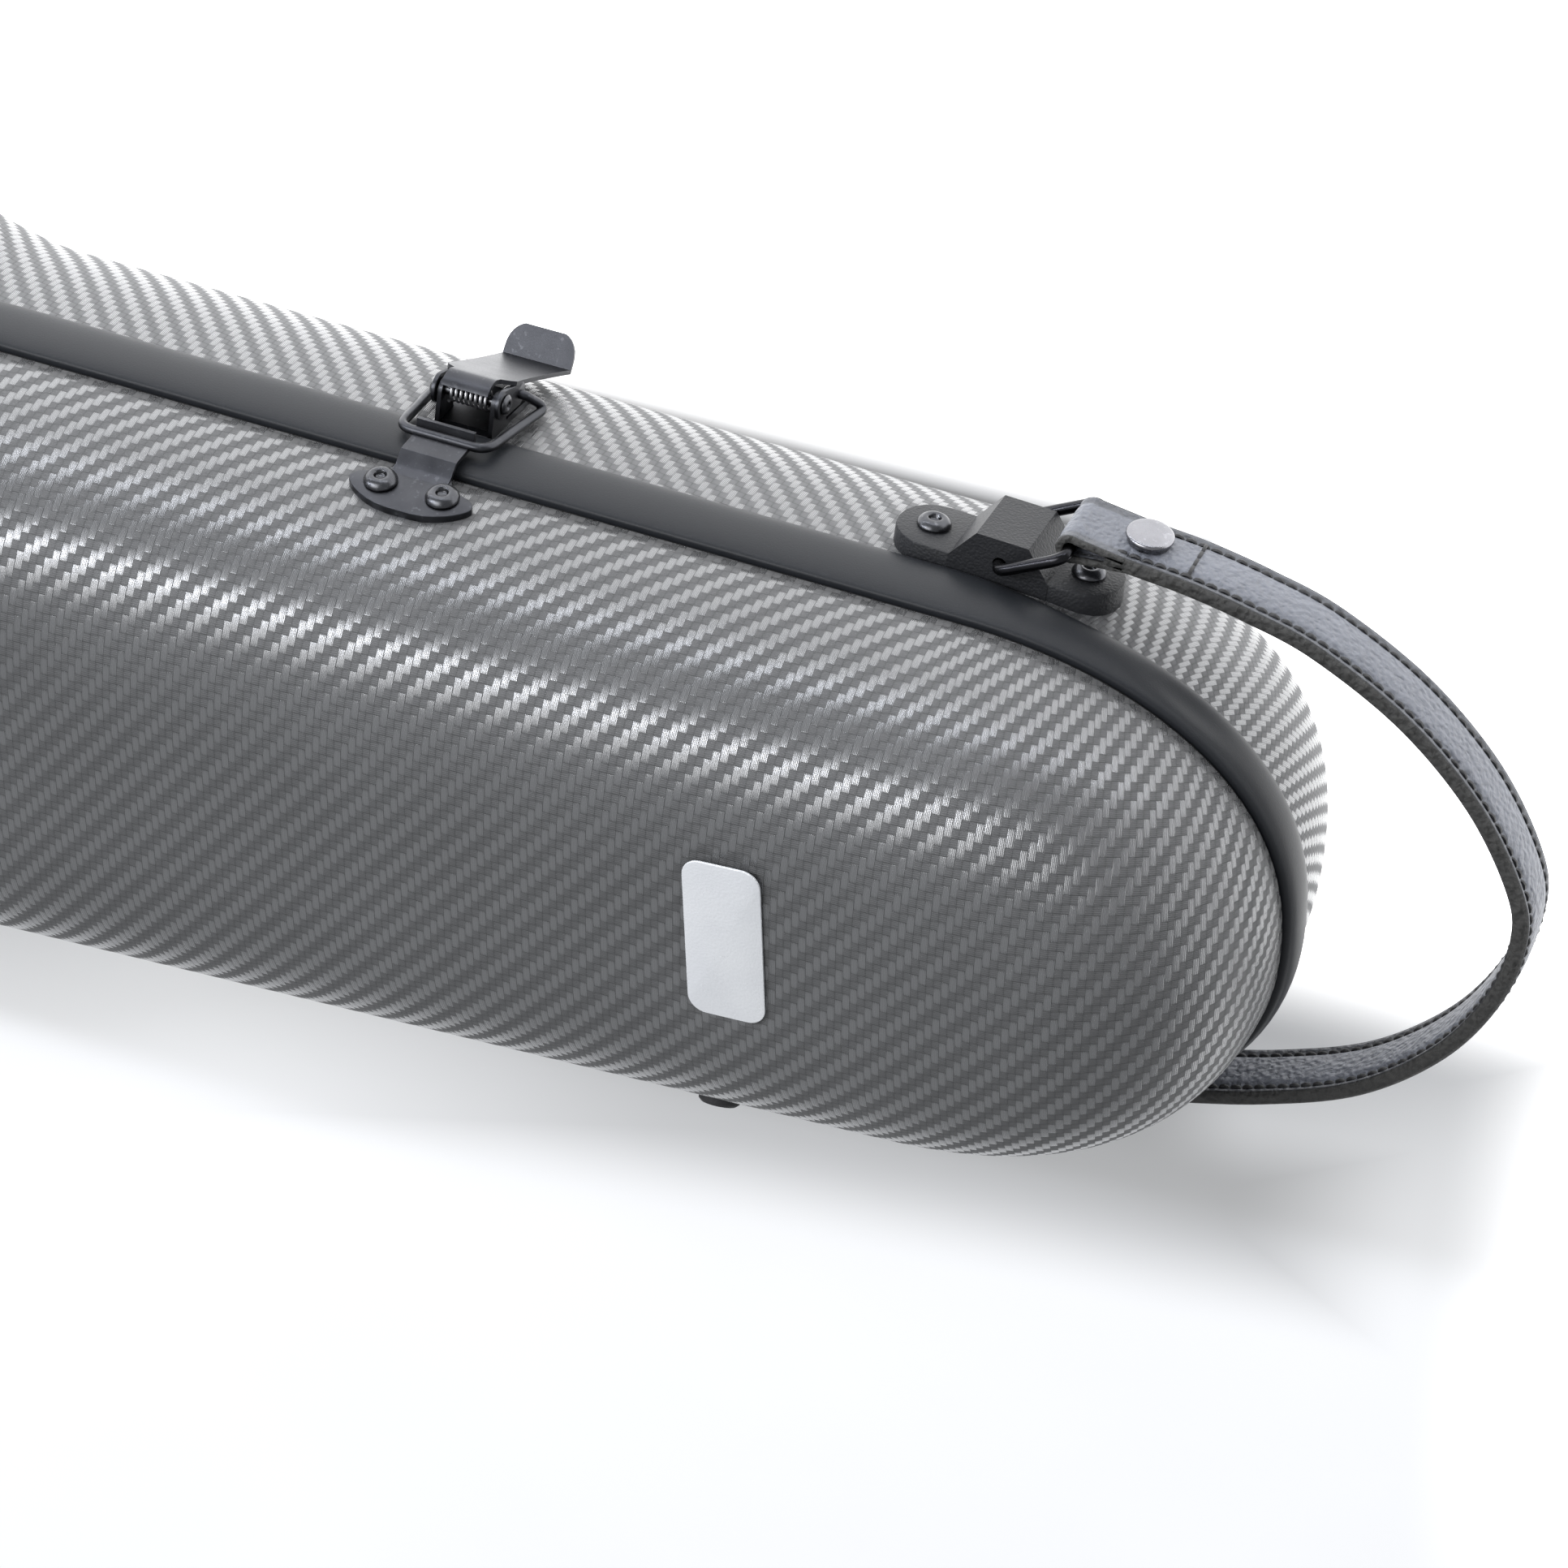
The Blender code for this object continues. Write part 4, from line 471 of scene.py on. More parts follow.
def rounded_box(length, width, corner):
    points = []
    for quarter, (sx, sy) in enumerate(((1, 1), (-1, 1), (-1, -1), (1, -1))):
        centre = (sx * (length / 2 - corner), sy * (width / 2 - corner))
        points += arc(centre, corner, 90 * quarter, 90 * quarter + 90, 8)
    return points


def moved(shape, matrix):
    bmesh.ops.transform(shape, matrix=matrix, verts=shape.verts)
    if matrix.determinant() < 0:
        bmesh.ops.reverse_faces(shape, faces=shape.faces)
    return shape


plate = Finish("badge_film")
spot = plate.spot()
dimple, smudge = plate.pebbles(spot, 1500.0), plate.clouds(spot, 60.0, 4.0)
color = smudge.pick(BADGE_DIM, BADGE_WHITE)
badge_film = plate.done(color, smudge * 0.1 + 0.34, dimple, 0.00006, Coat_Weight=0.2)
badge_spot = Matrix.Translation(BADGE_CENTRE) @ Matrix.Rotation(BADGE_TURN, 4, "Z")
shape = slab(rounded_box(BADGE_WIDTH, BADGE_LENGTH, BADGE_CORNER), GAP, BADGE_RISE, BADGE_EDGE)
add_piece("badge_face", moved(shape, badge_spot), badge_film, 50.0, "lid", "badge_white", "badge_plate")

# Latches. Each draw latch is pressed from steel sheet and blackened: a mount riveted to the base wall carries
# a lever on a hollow pin with a coil spring, and the lever's wire bail pulls on the lid's hooked keeper.
PIN_BELOW, PIN_OUT, PIN_RADIUS, PIN_HEAD, PIN_HEAD_RISE = 0.0235, 0.0093, 0.0014, 0.0028, 0.0009
BAIL_WIRE, BAIL_BELOW, BAIL_OUT, BAIL_HALF, BAIL_END_HALF = 0.0013, 0.0065, 0.0063, 0.0124, 0.0112
BAIL_PIVOT_BELOW, BAIL_PIVOT_OUT = 0.033, 0.007
BAIL_TAIL_HALF, BAIL_TAIL_BELOW, BAIL_TAIL_OUT = 0.0148, 0.0385, 0.001
MOUNT_HALF, SHEET, LEVER_EYE, TAIL_EYE, CURL_HALF = 0.0082, 0.0012, 0.0042, 0.0033, 0.0066
LEVER_BEND, TAB_LENGTH, TAB_RISE = (0.0652, -0.0066), 0.01, radians(50)
SPRING_WIRE, SPRING_RADIUS, SPRING_TURNS, SPRING_PITCH = 0.00043, 0.0024, 8, 0.00138
SPRING_TOE, SPRING_LEG, SPRING_STEPS, SHEET_EDGE = 0.0016, 0.005, 28, 0.0003
KEEPER_SPACING, KEEPER_HALF, KEEPER_RISE, KEEPER_TOP, KEEPER_FOOT = 0.0174, 0.0172, 0.0115, 0.02, 0.004
KEEPER_SINK, CHEEK_EDGE, LATCHES_AT = 0.0016, 0.0002, (0.235, 0.642)
TONGUE_HALF, HOOK_HALF, HOOK_HEIGHT, HOOK_GAP, TONGUE_SINK = 0.0078, 0.0082, 0.0042, 0.0005, 0.001
BAIL_CUT, RIVET_HEAD, RIVET_RISE, WORN_LIGHTER, WORN_LIFT = 0.0042, 0.0045, 0.0022, 2.6, 0.03


def metal(name, color, rough, grain=0.00002, wear=0.5):
    """Blackened or plated steel: clouds, fine rubbing marks and bright worn specks."""
    steel = Finish(name)
    spot = steel.spot()
    marks = steel.clouds(steel.node("Mapping", {0: spot, 3: (1.0, 1.0, 0.12)}), 2600.0, 3.0)
    cloudy = steel.clouds(spot, 180.0, 5.0)
    worn = steel.clouds(spot, 700.0, 4.0).step(0.6, 0.72) * wear
    shade = (cloudy * 0.35 + worn).pick(color, [part * WORN_LIGHTER + WORN_LIFT for part in color])
    return steel.done(shade, marks * 0.1 + cloudy * 0.12 + rough, marks + cloudy, grain, Metallic=1.0)


def drawn_in(rise, depth, width, fullness):
    """How far a rounded wall has drawn in at a height from its edge."""
    return width * (1 - (1 - (max(0.0, rise) / depth) ** fullness) ** (1 / fullness))


def wall_inset(below):
    return drawn_in(below - BAND_HEIGHT, BASE_DEPTH, BASE_ROUND, BASE_FULLNESS)


def lid_inset(above):
    return drawn_in(above, LID_DEPTH, LID_ROUND, LID_FULLNESS)


def wall_frame(along, reach, below=0.0):
    """A frame on the latch side: X along the wall towards the tip, Y outwards, Z towards the lid."""
    run = Vector((2 * reach, half_width(along - reach) - half_width(along + reach)))
    spot = Matrix.Translation((CASE_LENGTH / 2 - along, half_width(along), PARTING - below))
    return spot @ Matrix.Rotation(atan2(run.y, run.x), 4, "Z")


def joined(*shapes):
    whole = bmesh.new()
    for part in shapes:
        mesh = bpy.data.meshes.new("part")
        part.to_mesh(mesh)
        part.free()
        whole.from_mesh(mesh)
        bpy.data.meshes.remove(mesh)
    return whole


def soft_path(corners, cut, closed=False):
    """The corner points, with each bend rounded off from the cut's distance on."""
    path = []
    for k, corner in enumerate(corners):
        here = Vector(corner)
        if not closed and k in (0, len(corners) - 1):
            path.append(here)
            continue
        before, after = Vector(corners[k - 1]) - here, Vector(corners[(k + 1) % len(corners)]) - here
        reach = min(cut, before.length * 0.48, after.length * 0.48)
        before, after = before.normalized() * reach, after.normalized() * reach
        path += [here + before * (1 - t / 7) ** 2 + after * (t / 7) ** 2 for t in range(8)]
    return path + path[:1] if closed else path


def tube(path, radius, sides=16, closed=False):
    """A round wire along the path. Its rings are carried along it without twist."""
    rows, lift = [], None
    for k, here in enumerate(path):
        before, after = path[max(0, k - 1)], path[min(len(path) - 1, k + 1)]
        if closed and k == 0:
            before = path[-2]
        run = (after - before).normalized()
        lift = lift or run.orthogonal()
        lift = (lift - run * lift.dot(run)).normalized()
        side = run.cross(lift)
        rows.append([here + lift * p.x + side * p.y for p in ring(radius, 0, sides)])
    return grid_over(rows[:-1] + rows[:1]) if closed else grid_over(rows, fill=True)


def ring(radius, height, steps):
    turns = [2 * pi * s / steps for s in range(steps + 1)]
    return [Vector((radius * cos(t), radius * sin(t), height)) for t in turns]


def lathe(profile, steps=40):
    """(radius, height) pairs turned about Z."""
    return grid_over([ring(radius, height, steps) for radius, height in profile])


def bent_sheet(rows):
    """A sheet bent along rows of (below, out, half width)."""
    shape = grid_over([[(half * (k / 4 - 1), out, -below) for k in range(9)] for below, out, half in rows])
    bmesh.ops.solidify(shape, geom=shape.faces, thickness=SHEET)
    bmesh.ops.translate(shape, verts=shape.verts, vec=(0, SHEET / 2, 0))
    return shape


def rounded(piece, width):
    edges = piece.modifiers.new("edges", "BEVEL")
    edges.width, edges.segments, edges.limit_method, edges.harden_normals = width, 3, "ANGLE", True


def rivet(name, body, matrix):
    """A hollow domed rivet head, standing for the rivet of that name."""
    shares = ((0.0, 0.35), (0.26, 0.35), (0.33, 0.5), (0.36, 0.86), (0.42, 0.97), (0.52, 1.0), (0.64, 0.96),
              (0.8, 0.74), (0.93, 0.44), (0.99, 0.2), (1.0, 0.06), (0.98, 0.0), (0.0, 0.0))
    head = moved(lathe([(RIVET_HEAD * r, RIVET_RISE * h) for r, h in shares]), matrix @ outward)
    add_piece(name + "_head", head, rivet_steel, 50.0, body, "dark_rivet", name)


black_steel = metal("black_steel", (0.03, 0.031, 0.035), 0.28, wear=0.3)
rivet_steel = metal("dark_rivet", (0.045, 0.046, 0.05), 0.18, wear=0.5)
spring_steel = metal("spring_steel", (0.3, 0.3, 0.31), 0.2, wear=0.7)
flare = ((0.05, 0.68), (0.09, 0.9), (0.13, 1.02), (0.2, 1.0), (0.35, 0.97), (0.5, 0.96), (0.65, 0.965),
         (0.8, 0.98), (0.92, 1.0), (1.0, 1.02))
tab = ((0.1, 1.02), (0.25, 1.02), (0.45, 1.01), (0.62, 0.97), (0.76, 0.9), (0.88, 0.8), (0.96, 0.69),
       (1.0, 0.6))
wings = ((0.45, 0.2), (0.5, 0.28), (0.56, 0.34), (0.64, 0.39), (0.74, 0.43), (0.84, 0.46), (0.93, 0.5),
         (0.985, 0.56), (1.0, 0.62), (0.97, 0.68), (0.9, 0.75), (0.8, 0.82), (0.68, 0.88), (0.55, 0.93),
         (0.4, 0.97), (0.2, 0.99))
pin_end = ((0.0, 0.3), (0.0009, 0.3), (0.0012, 0.9), (0.0016, 1.0), (0.0023, 0.8), (PIN_HEAD, 0.2),
           (PIN_HEAD, 0.0), (PIN_RADIUS, 0.0))
cheek_half = MOUNT_HALF + GAP + SHEET
CROSSWISE = Matrix.Rotation(pi / 2, 4, "Y")
STAND = Matrix(((1, 0, 0, 0), (0, 0, 1, 0), (0, 1, 0, 0), (0, 0, 0, 1)))
outward = Matrix.Rotation(-pi / 2, 4, "X")
lean = atan2(lid_inset(KEEPER_TOP) - lid_inset(KEEPER_FOOT), KEEPER_TOP - KEEPER_FOOT)
keeper_seat = Matrix.Translation((0, 2 * GAP - lid_inset(KEEPER_RISE) / 2, KEEPER_RISE))
keeper_seat @= Matrix.Rotation(lean, 4, "X")
for number, along in enumerate(LATCHES_AT, 1):
    wall, latch = wall_frame(along, BAIL_HALF), f"latch_{number}"
    pin = (PIN_BELOW, PIN_OUT)
    curl = arc(pin, LEVER_EYE, 142, 72, 12)
    rows = [(below, out, CURL_HALF) for below, out in curl]
    start, bend = Vector(curl[-1]), Vector(LEVER_BEND)
    rows += [(*start.lerp(bend, share), half * cheek_half) for share, half in flare]
    up = Vector((cos(TAB_RISE), sin(TAB_RISE))) * TAB_LENGTH
    rows += [(*(bend + up * share), half * cheek_half) for share, half in tab]
    cheek = arc(pin, LEVER_EYE, 90, 270, 16) + arc((BAIL_PIVOT_BELOW, BAIL_PIVOT_OUT), TAIL_EYE, -90, 90, 16)
    cheeks = [moved(slab(cheek, 0.0, SHEET, CHEEK_EDGE, 2), Matrix.Translation((side, 0, 0)) @ CROSSWISE)
              for side in (MOUNT_HALF + GAP, -cheek_half)]
    shape = moved(joined(bent_sheet(rows), *cheeks), wall)
    name, node = f"lever_{number}", latch + "_lever"
    rounded(add_piece(name, shape, black_steel, 40.0, node, "black_steel", node), SHEET_EDGE)

    corners = [(MOUNT_HALF - GAP, BAIL_PIVOT_OUT, -BAIL_PIVOT_BELOW),
               (BAIL_END_HALF, BAIL_PIVOT_OUT, -BAIL_PIVOT_BELOW),
               (BAIL_TAIL_HALF, BAIL_TAIL_OUT, -BAIL_TAIL_BELOW), (BAIL_HALF, BAIL_OUT, -BAIL_BELOW)]
    shape = moved(tube(soft_path(mirrored(corners), BAIL_CUT), BAIL_WIRE), wall)
    add_piece(f"bail_{number}", shape, black_steel, 60.0, latch + "_bail", "black_steel", latch + "_bail")

    coil = []
    for k in range(SPRING_TURNS * SPRING_STEPS + 1):
        t = 2 * pi * k / SPRING_STEPS
        coil.append(Vector((SPRING_PITCH * (k / SPRING_STEPS - SPRING_TURNS / 2),
                            PIN_OUT - SPRING_RADIUS * cos(t), -PIN_BELOW - SPRING_RADIUS * sin(t))))
    coil = [coil[0] + Vector((0, 0, SPRING_TOE)), *coil, coil[-1] - Vector((0, 0, SPRING_LEG))]
    shape = moved(tube(coil, SPRING_WIRE, 10), wall)
    add_piece(f"spring_{number}", shape, spring_steel, 60.0, "base", "spring_steel", latch + "_spring")

    seat = MOUNT_HALF + SHEET + 2 * GAP
    profile = [(radius, seat + PIN_HEAD_RISE * rise) for radius, rise in pin_end]
    profile += [(radius, -height) for radius, height in reversed(profile)]
    shape = moved(lathe(profile, 32), wall @ Matrix.Translation((0, PIN_OUT, -PIN_BELOW)) @ CROSSWISE)
    add_piece(f"pin_{number}", shape, rivet_steel, 40.0, "base", "dark_rivet", latch + "_pin")

    outline = mirrored([(KEEPER_HALF * x, KEEPER_TOP * y - KEEPER_RISE) for x, y in wings])
    body = moved(slab(outline, -KEEPER_SINK, SHEET, SHEET_EDGE, 3), keeper_seat @ STAND)
    over, hook = BAND_PROUD + 2 * GAP + SHEET / 2, BAIL_BELOW + BAIL_WIRE + HOOK_GAP + SHEET / 2
    knee = BAND_PROUD - KEEPER_FOOT
    tongue = ((-KEEPER_RISE, -TONGUE_SINK - lid_inset(KEEPER_RISE) / 2), (-KEEPER_FOOT - 0.0012, 0.001),
              (-KEEPER_FOOT, 0.0016), (knee, over), (knee + 0.001, over + 0.0001), (hook - SHEET, over))
    tip = ((hook - 0.0003, over + 0.0003), (hook, over + 0.001), (hook + 0.0004, over + HOOK_HEIGHT * 0.6),
           (hook + 0.0006, over + HOOK_HEIGHT))
    rows = [(*place, TONGUE_HALF) for place in tongue] + [(*place, HOOK_HALF) for place in tip]
    shape = moved(joined(body, bent_sheet(rows)), wall)
    name, node = f"keeper_plate_{number}", f"keeper_{number}"
    rounded(add_piece(name, shape, black_steel, 40.0, "lid", "black_steel", node), SHEET_EDGE)
    for side, tag in ((-1, "a"), (1, "b")):
        spot = Matrix.Translation((side * KEEPER_SPACING / 2, 0, 0)) @ keeper_seat
        rivet(f"{node}_rivet_{tag}", "lid", wall @ spot @ Matrix.Translation((0, SHEET + GAP, 0)))

# Strap brackets. Four moulded nylon plates with a faceted block are riveted to the base walls, and a black
# wire ring turns in each block. Mounts, hinge leaves and holders are shown as they are in the solid model.
BRACKET_BELOW, BRACKET_PLATE, BRACKET_RIVETS, BRACKET_WIDTH = 0.0295, 0.0042, 0.042, 0.0212
RING_WIRE, BAR_OUT, BAR_SHIFT, RING_HALF, RING_REACH = 0.0016, 0.006, 0.0005, 0.0138, 0.0203
RING_RISE, RING_CUT, WELD, NARROW_BRACKET, WIDE_BRACKET = radians(31), 0.0042, 2e-5, 0.0877, 0.695
MIRROR = Matrix.Scale(-1, 4, (0, 1, 0))


def refinish(node, finish, width):
    """A solid's own shape with its edges softened and a finish of its own."""
    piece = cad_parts[node]
    if "custom_normal" in piece.data.attributes:
        piece.data.attributes.remove(piece.data.attributes["custom_normal"])
    piece.data.materials.clear()
    piece.data.materials.append(finish)
    piece.data.shade_smooth()
    piece.modifiers.new("weld", "WELD").merge_threshold = WELD
    rounded(piece, width)


BAR = Vector((BAR_SHIFT, BAR_OUT, 0))
RING_FAR = Vector((cos(RING_RISE), sin(RING_RISE), 0)) * RING_REACH
nylon = moulded("nylon", (0.01, 0.0105, 0.012), 0.42, 1500.0, 0.00014, 0.4, specular=0.28)
gloss_steel = metal("gloss_wire", (0.014, 0.014, 0.016), 0.14, wear=0.15)
for reach, along in (("narrow", NARROW_BRACKET), ("wide", WIDE_BRACKET)):
    wall = wall_frame(along, BRACKET_RIVETS / 2, BRACKET_BELOW)
    slope = wall_inset(BRACKET_BELOW + BRACKET_WIDTH / 2) - wall_inset(BRACKET_BELOW - BRACKET_WIDTH / 2)
    seat = Matrix.Translation((0, -wall_inset(BRACKET_BELOW), 0))
    seat @= Matrix.Rotation(-atan(slope / BRACKET_WIDTH), 4, "X")
    for side, where in (("latch", wall), ("hinge", MIRROR @ wall)):
        refinish(f"bracket_{reach}_{side}", nylon, 0.0007)
        up, name = Vector((0, 0, RING_HALF)), f"ring_{reach}_{side}"
        corners = [BAR + up, BAR + up + RING_FAR, BAR - up + RING_FAR, BAR - up]
        shape = moved(tube(soft_path(corners, RING_CUT, True), RING_WIRE, 18, True), where)
        body = "base" if reach == "narrow" else name
        add_piece(name + "_wire", shape, gloss_steel, 60.0, body, "black_steel", name)
        for end, tag in ((-1, "a"), (1, "b")):
            place = Matrix.Translation((end * BRACKET_RIVETS / 2, BRACKET_PLATE + GAP, 0))
            rivet(f"bracket_{reach}_{side}_rivet_{tag}", "base", where @ seat @ place)

# Neck strap. Two layers of pebbled leather are sewn over a felt core with a row of black stitches near each
# edge. Each end is folded round its ring, sewn across, and closed by a chromed stud.
STRAP_WIDTH, STRAP_THICK, STRAP_MIDDLE = 0.02, 0.0046, PARTING - BRACKET_BELOW
STRAP_WAY = ((0.334, 0.0894), (0.3468, 0.0878), (0.358, 0.0861), (0.373, 0.0825), (0.3915, 0.0762),
             (0.4155, 0.0614), (0.435, 0.0415), (0.4475, 0.0195), (0.4505, 0.004), (0.446, -0.0165),
             (0.4335, -0.0385), (0.413, -0.0575), (0.387, -0.0695), (0.356, -0.079))
SEAM_AT, SEAM_DEPTH, SEAM_SPREAD, PUFF, STITCH, THREAD = 0.007, 0.0007, 0.0011, 0.0005, 0.0034, 0.00055
STRAP_EDGE, EDGE_DROP, STRAP_STEP, SEAM_END, CROSS_SEAM, FOLD_SEAM = 0.001, 0.45, 0.0022, 0.011, 0.03, 0.0003
SNAP_RADIUS, SNAP_HEIGHT, SNAP_AT, SNAP_FOOT = 0.0062, 0.0024, 0.017, 0.001
MARGIN, RAW_EDGE, LEATHER_RELIEF = (0.0062, 0.0072), (0.009, 0.0095), 0.0008
HIDE_DARK, HIDE_LIGHT = (0.05, 0.054, 0.066), (0.135, 0.144, 0.168)
MARGIN_DARK, MARGIN_LIGHT = (0.03, 0.032, 0.038), (0.092, 0.097, 0.11)
FELT_DARK, FELT_LIGHT = (0.01, 0.01, 0.01), (0.06, 0.059, 0.056)


def smooth_way(points, step):
    """Evenly spaced points on a smooth curve through the given ones."""
    knots = [2 * points[0] - points[1], *points, 2 * points[-1] - points[-2]]
    way = [points[0]]
    for a, b, c, d in zip(knots, knots[1:], knots[2:], knots[3:]):
        for k in range(1, 41):
            t = k / 40
            spot = 2 * b + (c - a) * t + (2 * a - 5 * b + 4 * c - d) * t**2 + (3 * b - a - 3 * c + d) * t**3
            spot /= 2
            if (spot - way[-1]).length >= step:
                way.append(spot)
    return way


def ribbon(way, thickness, puff, seam):
    """A strap along a level way, puffed between two seams and rounded at its edges."""
    rows = []
    for k, here in enumerate(way):
        run = (way[min(k + 1, len(way) - 1)] - way[max(0, k - 1)]).normalized()
        side = Vector((run.y, -run.x))
        section = []
        for face in (1, -1):
            for step in range(25):
                w = (step / 24 - 0.5) * STRAP_WIDTH * face
                near = abs(abs(w) - SEAM_AT) / SEAM_SPREAD
                swell = puff * max(0.0, 1 - (w / SEAM_AT) ** 2)
                rim = max(0.0, abs(w) - STRAP_WIDTH / 2 + STRAP_EDGE) / STRAP_EDGE
                out = thickness / 2 * (1 - EDGE_DROP * rim**2) + swell - seam * exp(-near * near)
                section.append(Vector((*(here + side * out * face), STRAP_MIDDLE + w)))
        rows.append(section + section[:1])
    return grid_over(rows, fill=True)


hide = Finish("pebbled_leather")
spot = hide.spot()
pebble, wrinkle = hide.pebbles(spot, 620.0), hide.clouds(spot, 420.0, 6.0, 0.8)
tone = hide.clouds(spot, 55.0, 3.0)
off_middle = (hide.split(spot)[2] - STRAP_MIDDLE).math("ABSOLUTE")
margin, raw = off_middle.step(*MARGIN), off_middle.step(*RAW_EDGE)
face = (wrinkle * 0.7 + tone * 0.5).pick(HIDE_DARK, HIDE_LIGHT)
sides = (wrinkle * 0.8 + tone * 0.2).pick(MARGIN_DARK, MARGIN_LIGHT)
color = raw.pick(margin.pick(face, sides), wrinkle.pick(FELT_DARK, FELT_LIGHT))
rough, height = raw * 0.35 + wrinkle * 0.15 + 0.42, (pebble * 0.9 + wrinkle * 0.8) * (raw * 1.2 + 1.0)
leather = hide.done(color, rough, height, LEATHER_RELIEF)
waxed = moulded("waxed_thread", (0.01, 0.01, 0.011), 0.5, 4000.0, 0.00005)
near = wall_frame(NARROW_BRACKET, BRACKET_RIVETS / 2, BRACKET_BELOW) @ (BAR + RING_FAR)
eyes = [Vector((near.x, near.y)), Vector((near.x, -near.y))]
way = smooth_way([eyes[0], *(Vector(p) for p in STRAP_WAY), eyes[1]], STRAP_STEP)
shapes = [ribbon(way[4:-4], STRAP_THICK, PUFF, SEAM_DEPTH)]
fold = STRAP_THICK / 2
for eye, line in ((eyes[0], way), (eyes[1], way[::-1])):
    run = (line[5] - eye).normalized()
    aside = Vector((-run.y, run.x))
    heading = degrees(atan2(run.y, run.x))
    rim = [Vector(p) for p in arc(eye, RING_WIRE + GAP + fold / 2, heading + 62, heading + 298, 22)]
    start, end = line[6] + aside * fold / 2, line[6] - aside * fold / 2
    turn = [start, start.lerp(rim[0], 0.5), *rim, end.lerp(rim[-1], 0.5), end]
    shapes.append(ribbon(turn, fold, 0.0, FOLD_SEAM))
strap = add_piece("strap_leather", joined(*shapes), leather, 60.0, "base", "grey_leather", "neck_strap")
lengths = [0.0]
for a, b in zip(way, way[1:]):
    lengths.append(lengths[-1] + (b - a).length)


def on_way(length, across, out):
    """A point at a length along the strap, off its middle line by across and outwards by out."""
    k = max(1, next((i for i, l in enumerate(lengths) if l >= length), len(lengths) - 1))
    share = (length - lengths[k - 1]) / (lengths[k] - lengths[k - 1])
    run = (way[k] - way[k - 1]).normalized()
    spot = way[k - 1].lerp(way[k], share) + Vector((run.y, -run.x)) * -out
    return Vector((*spot, STRAP_MIDDLE + across))


# Each stitch dips under at both ends: (share of the pitch, height) pairs.
SEAM_STITCH = ((0.06, -0.0007), (0.2, 0.0001), (0.45, 0.0003), (0.7, 0.0001), (0.84, -0.0007))
CROSS_STITCH = ((0.0, -0.0006), (0.16, 0.0001), (0.5, 0.0002), (0.84, 0.0001), (1.0, -0.0006))
seam_out, cross_out = STRAP_THICK / 2 - SEAM_DEPTH * 0.6, STRAP_THICK / 2 + PUFF * 0.6
threads = []
for across in (-SEAM_AT, SEAM_AT):
    for out in (-1, 1):
        for k in range(int((lengths[-1] - 2 * SEAM_END) / STITCH)):
            threads.append(tube([on_way(SEAM_END + STITCH * (k + t), across, out * (seam_out + lift))
                                 for t, lift in SEAM_STITCH], THREAD, 6))
for start in (CROSS_SEAM, lengths[-1] - CROSS_SEAM):
    for k in range(4):
        path = [on_way(start, STITCH * (k + t) - SEAM_AT, cross_out + lift) for t, lift in CROSS_STITCH]
        threads.append(tube(path, THREAD, 6))
add_piece("strap_stitches", joined(*threads), waxed, 60.0, "base", "grey_leather")

chrome = metal("snap_chrome", (0.15, 0.15, 0.16), 0.16, 0.000006, 0.15)
caps = ((0.0, 1.0), (0.55, 0.99), (0.84, 0.97), (0.93, 0.9), (0.985, 0.76), (1.0, 0.6), (0.99, 0.42),
        (0.94, 0.25), (0.9, 0.1), (0.9, -0.2), (0.0, -0.2))
for name, at in (("snap_latch", SNAP_AT), ("snap_hinge", lengths[-1] - SNAP_AT)):
    foot = on_way(at, 0.0, STRAP_THICK / 2 + SNAP_FOOT)
    facing = (on_way(at, 0.0, 1.0) - foot).normalized().to_track_quat("Z", "Y").to_matrix().to_4x4()
    shape = lathe([(SNAP_RADIUS * r, SNAP_HEIGHT * h) for r, h in caps], 56)
    shape = moved(shape, Matrix.Translation(foot) @ facing)
    add_piece(name + "_cap", shape, chrome, 40.0, "base", "snap_chrome", name)

# Hinges, mounts and holders. Pressed and moulded parts that keep the solid model's own shape.
for number in (1, 2):
    for node in (f"latch_{number}_mount", f"hinge_{number}_base_leaf", f"hinge_{number}_lid_leaf"):
        refinish(node, black_steel, SHEET_EDGE)
    refinish(f"hinge_{number}_pin", rivet_steel, SHEET_EDGE)
    refinish(f"bow_holder_{number}", nylon, 0.0006)
for tag in ("a", "b"):
    refinish(f"handle_holder_{tag}", nylon, 0.0008)
rubber = moulded("foot_rubber", (0.012, 0.012, 0.013), 0.66, 1800.0, 0.0001, 0.4, specular=0.35)
for node in ("lid_foot_1", "lid_foot_2", "base_foot_1", "base_foot_2"):
    refinish(node, rubber, 0.0006)

# Handle. A stiff steel bow turns in the two holders, and its grip is leather sewn round a foam sleeve.
HANDLE_PLACE, SPAN, DROP, HANDLE_WIRE = 0.56, 0.1, 0.04, 0.0022
GRIP_RADIUS, GRIP_LENGTH, HANDLE_BELOW, HANDLE_OUT = 0.0085, 0.07, 0.032, 0.012
HOLDER_WIDTH, HOLDER_CAP, BOW_CUT, GRIP_STEPS, GRIP_SIDES, GRIP_STITCHES = 0.015, 0.0036, 0.0036, 60, 48, 18
GRIP_SKIN, GRIP_END, END_DROP, WAIST, SEAM_DENT, DENT_WIDTH = 0.0005, 0.0035, 0.38, 0.04, 0.05, 0.09
GRIP_RIPPLE, GRIP_SEAM_START, GRIP_PITCH, GRIP_STITCH, GRIP_THREAD = 0.01, 0.005, 0.0034, 0.003, 0.0003
wall = wall_frame(HANDLE_PLACE, SPAN / 2, HANDLE_BELOW)
end = SPAN / 2 + HOLDER_WIDTH / 2 - HOLDER_CAP - GAP
inner = SPAN / 2 - HOLDER_WIDTH / 2 - GAP - HANDLE_WIRE
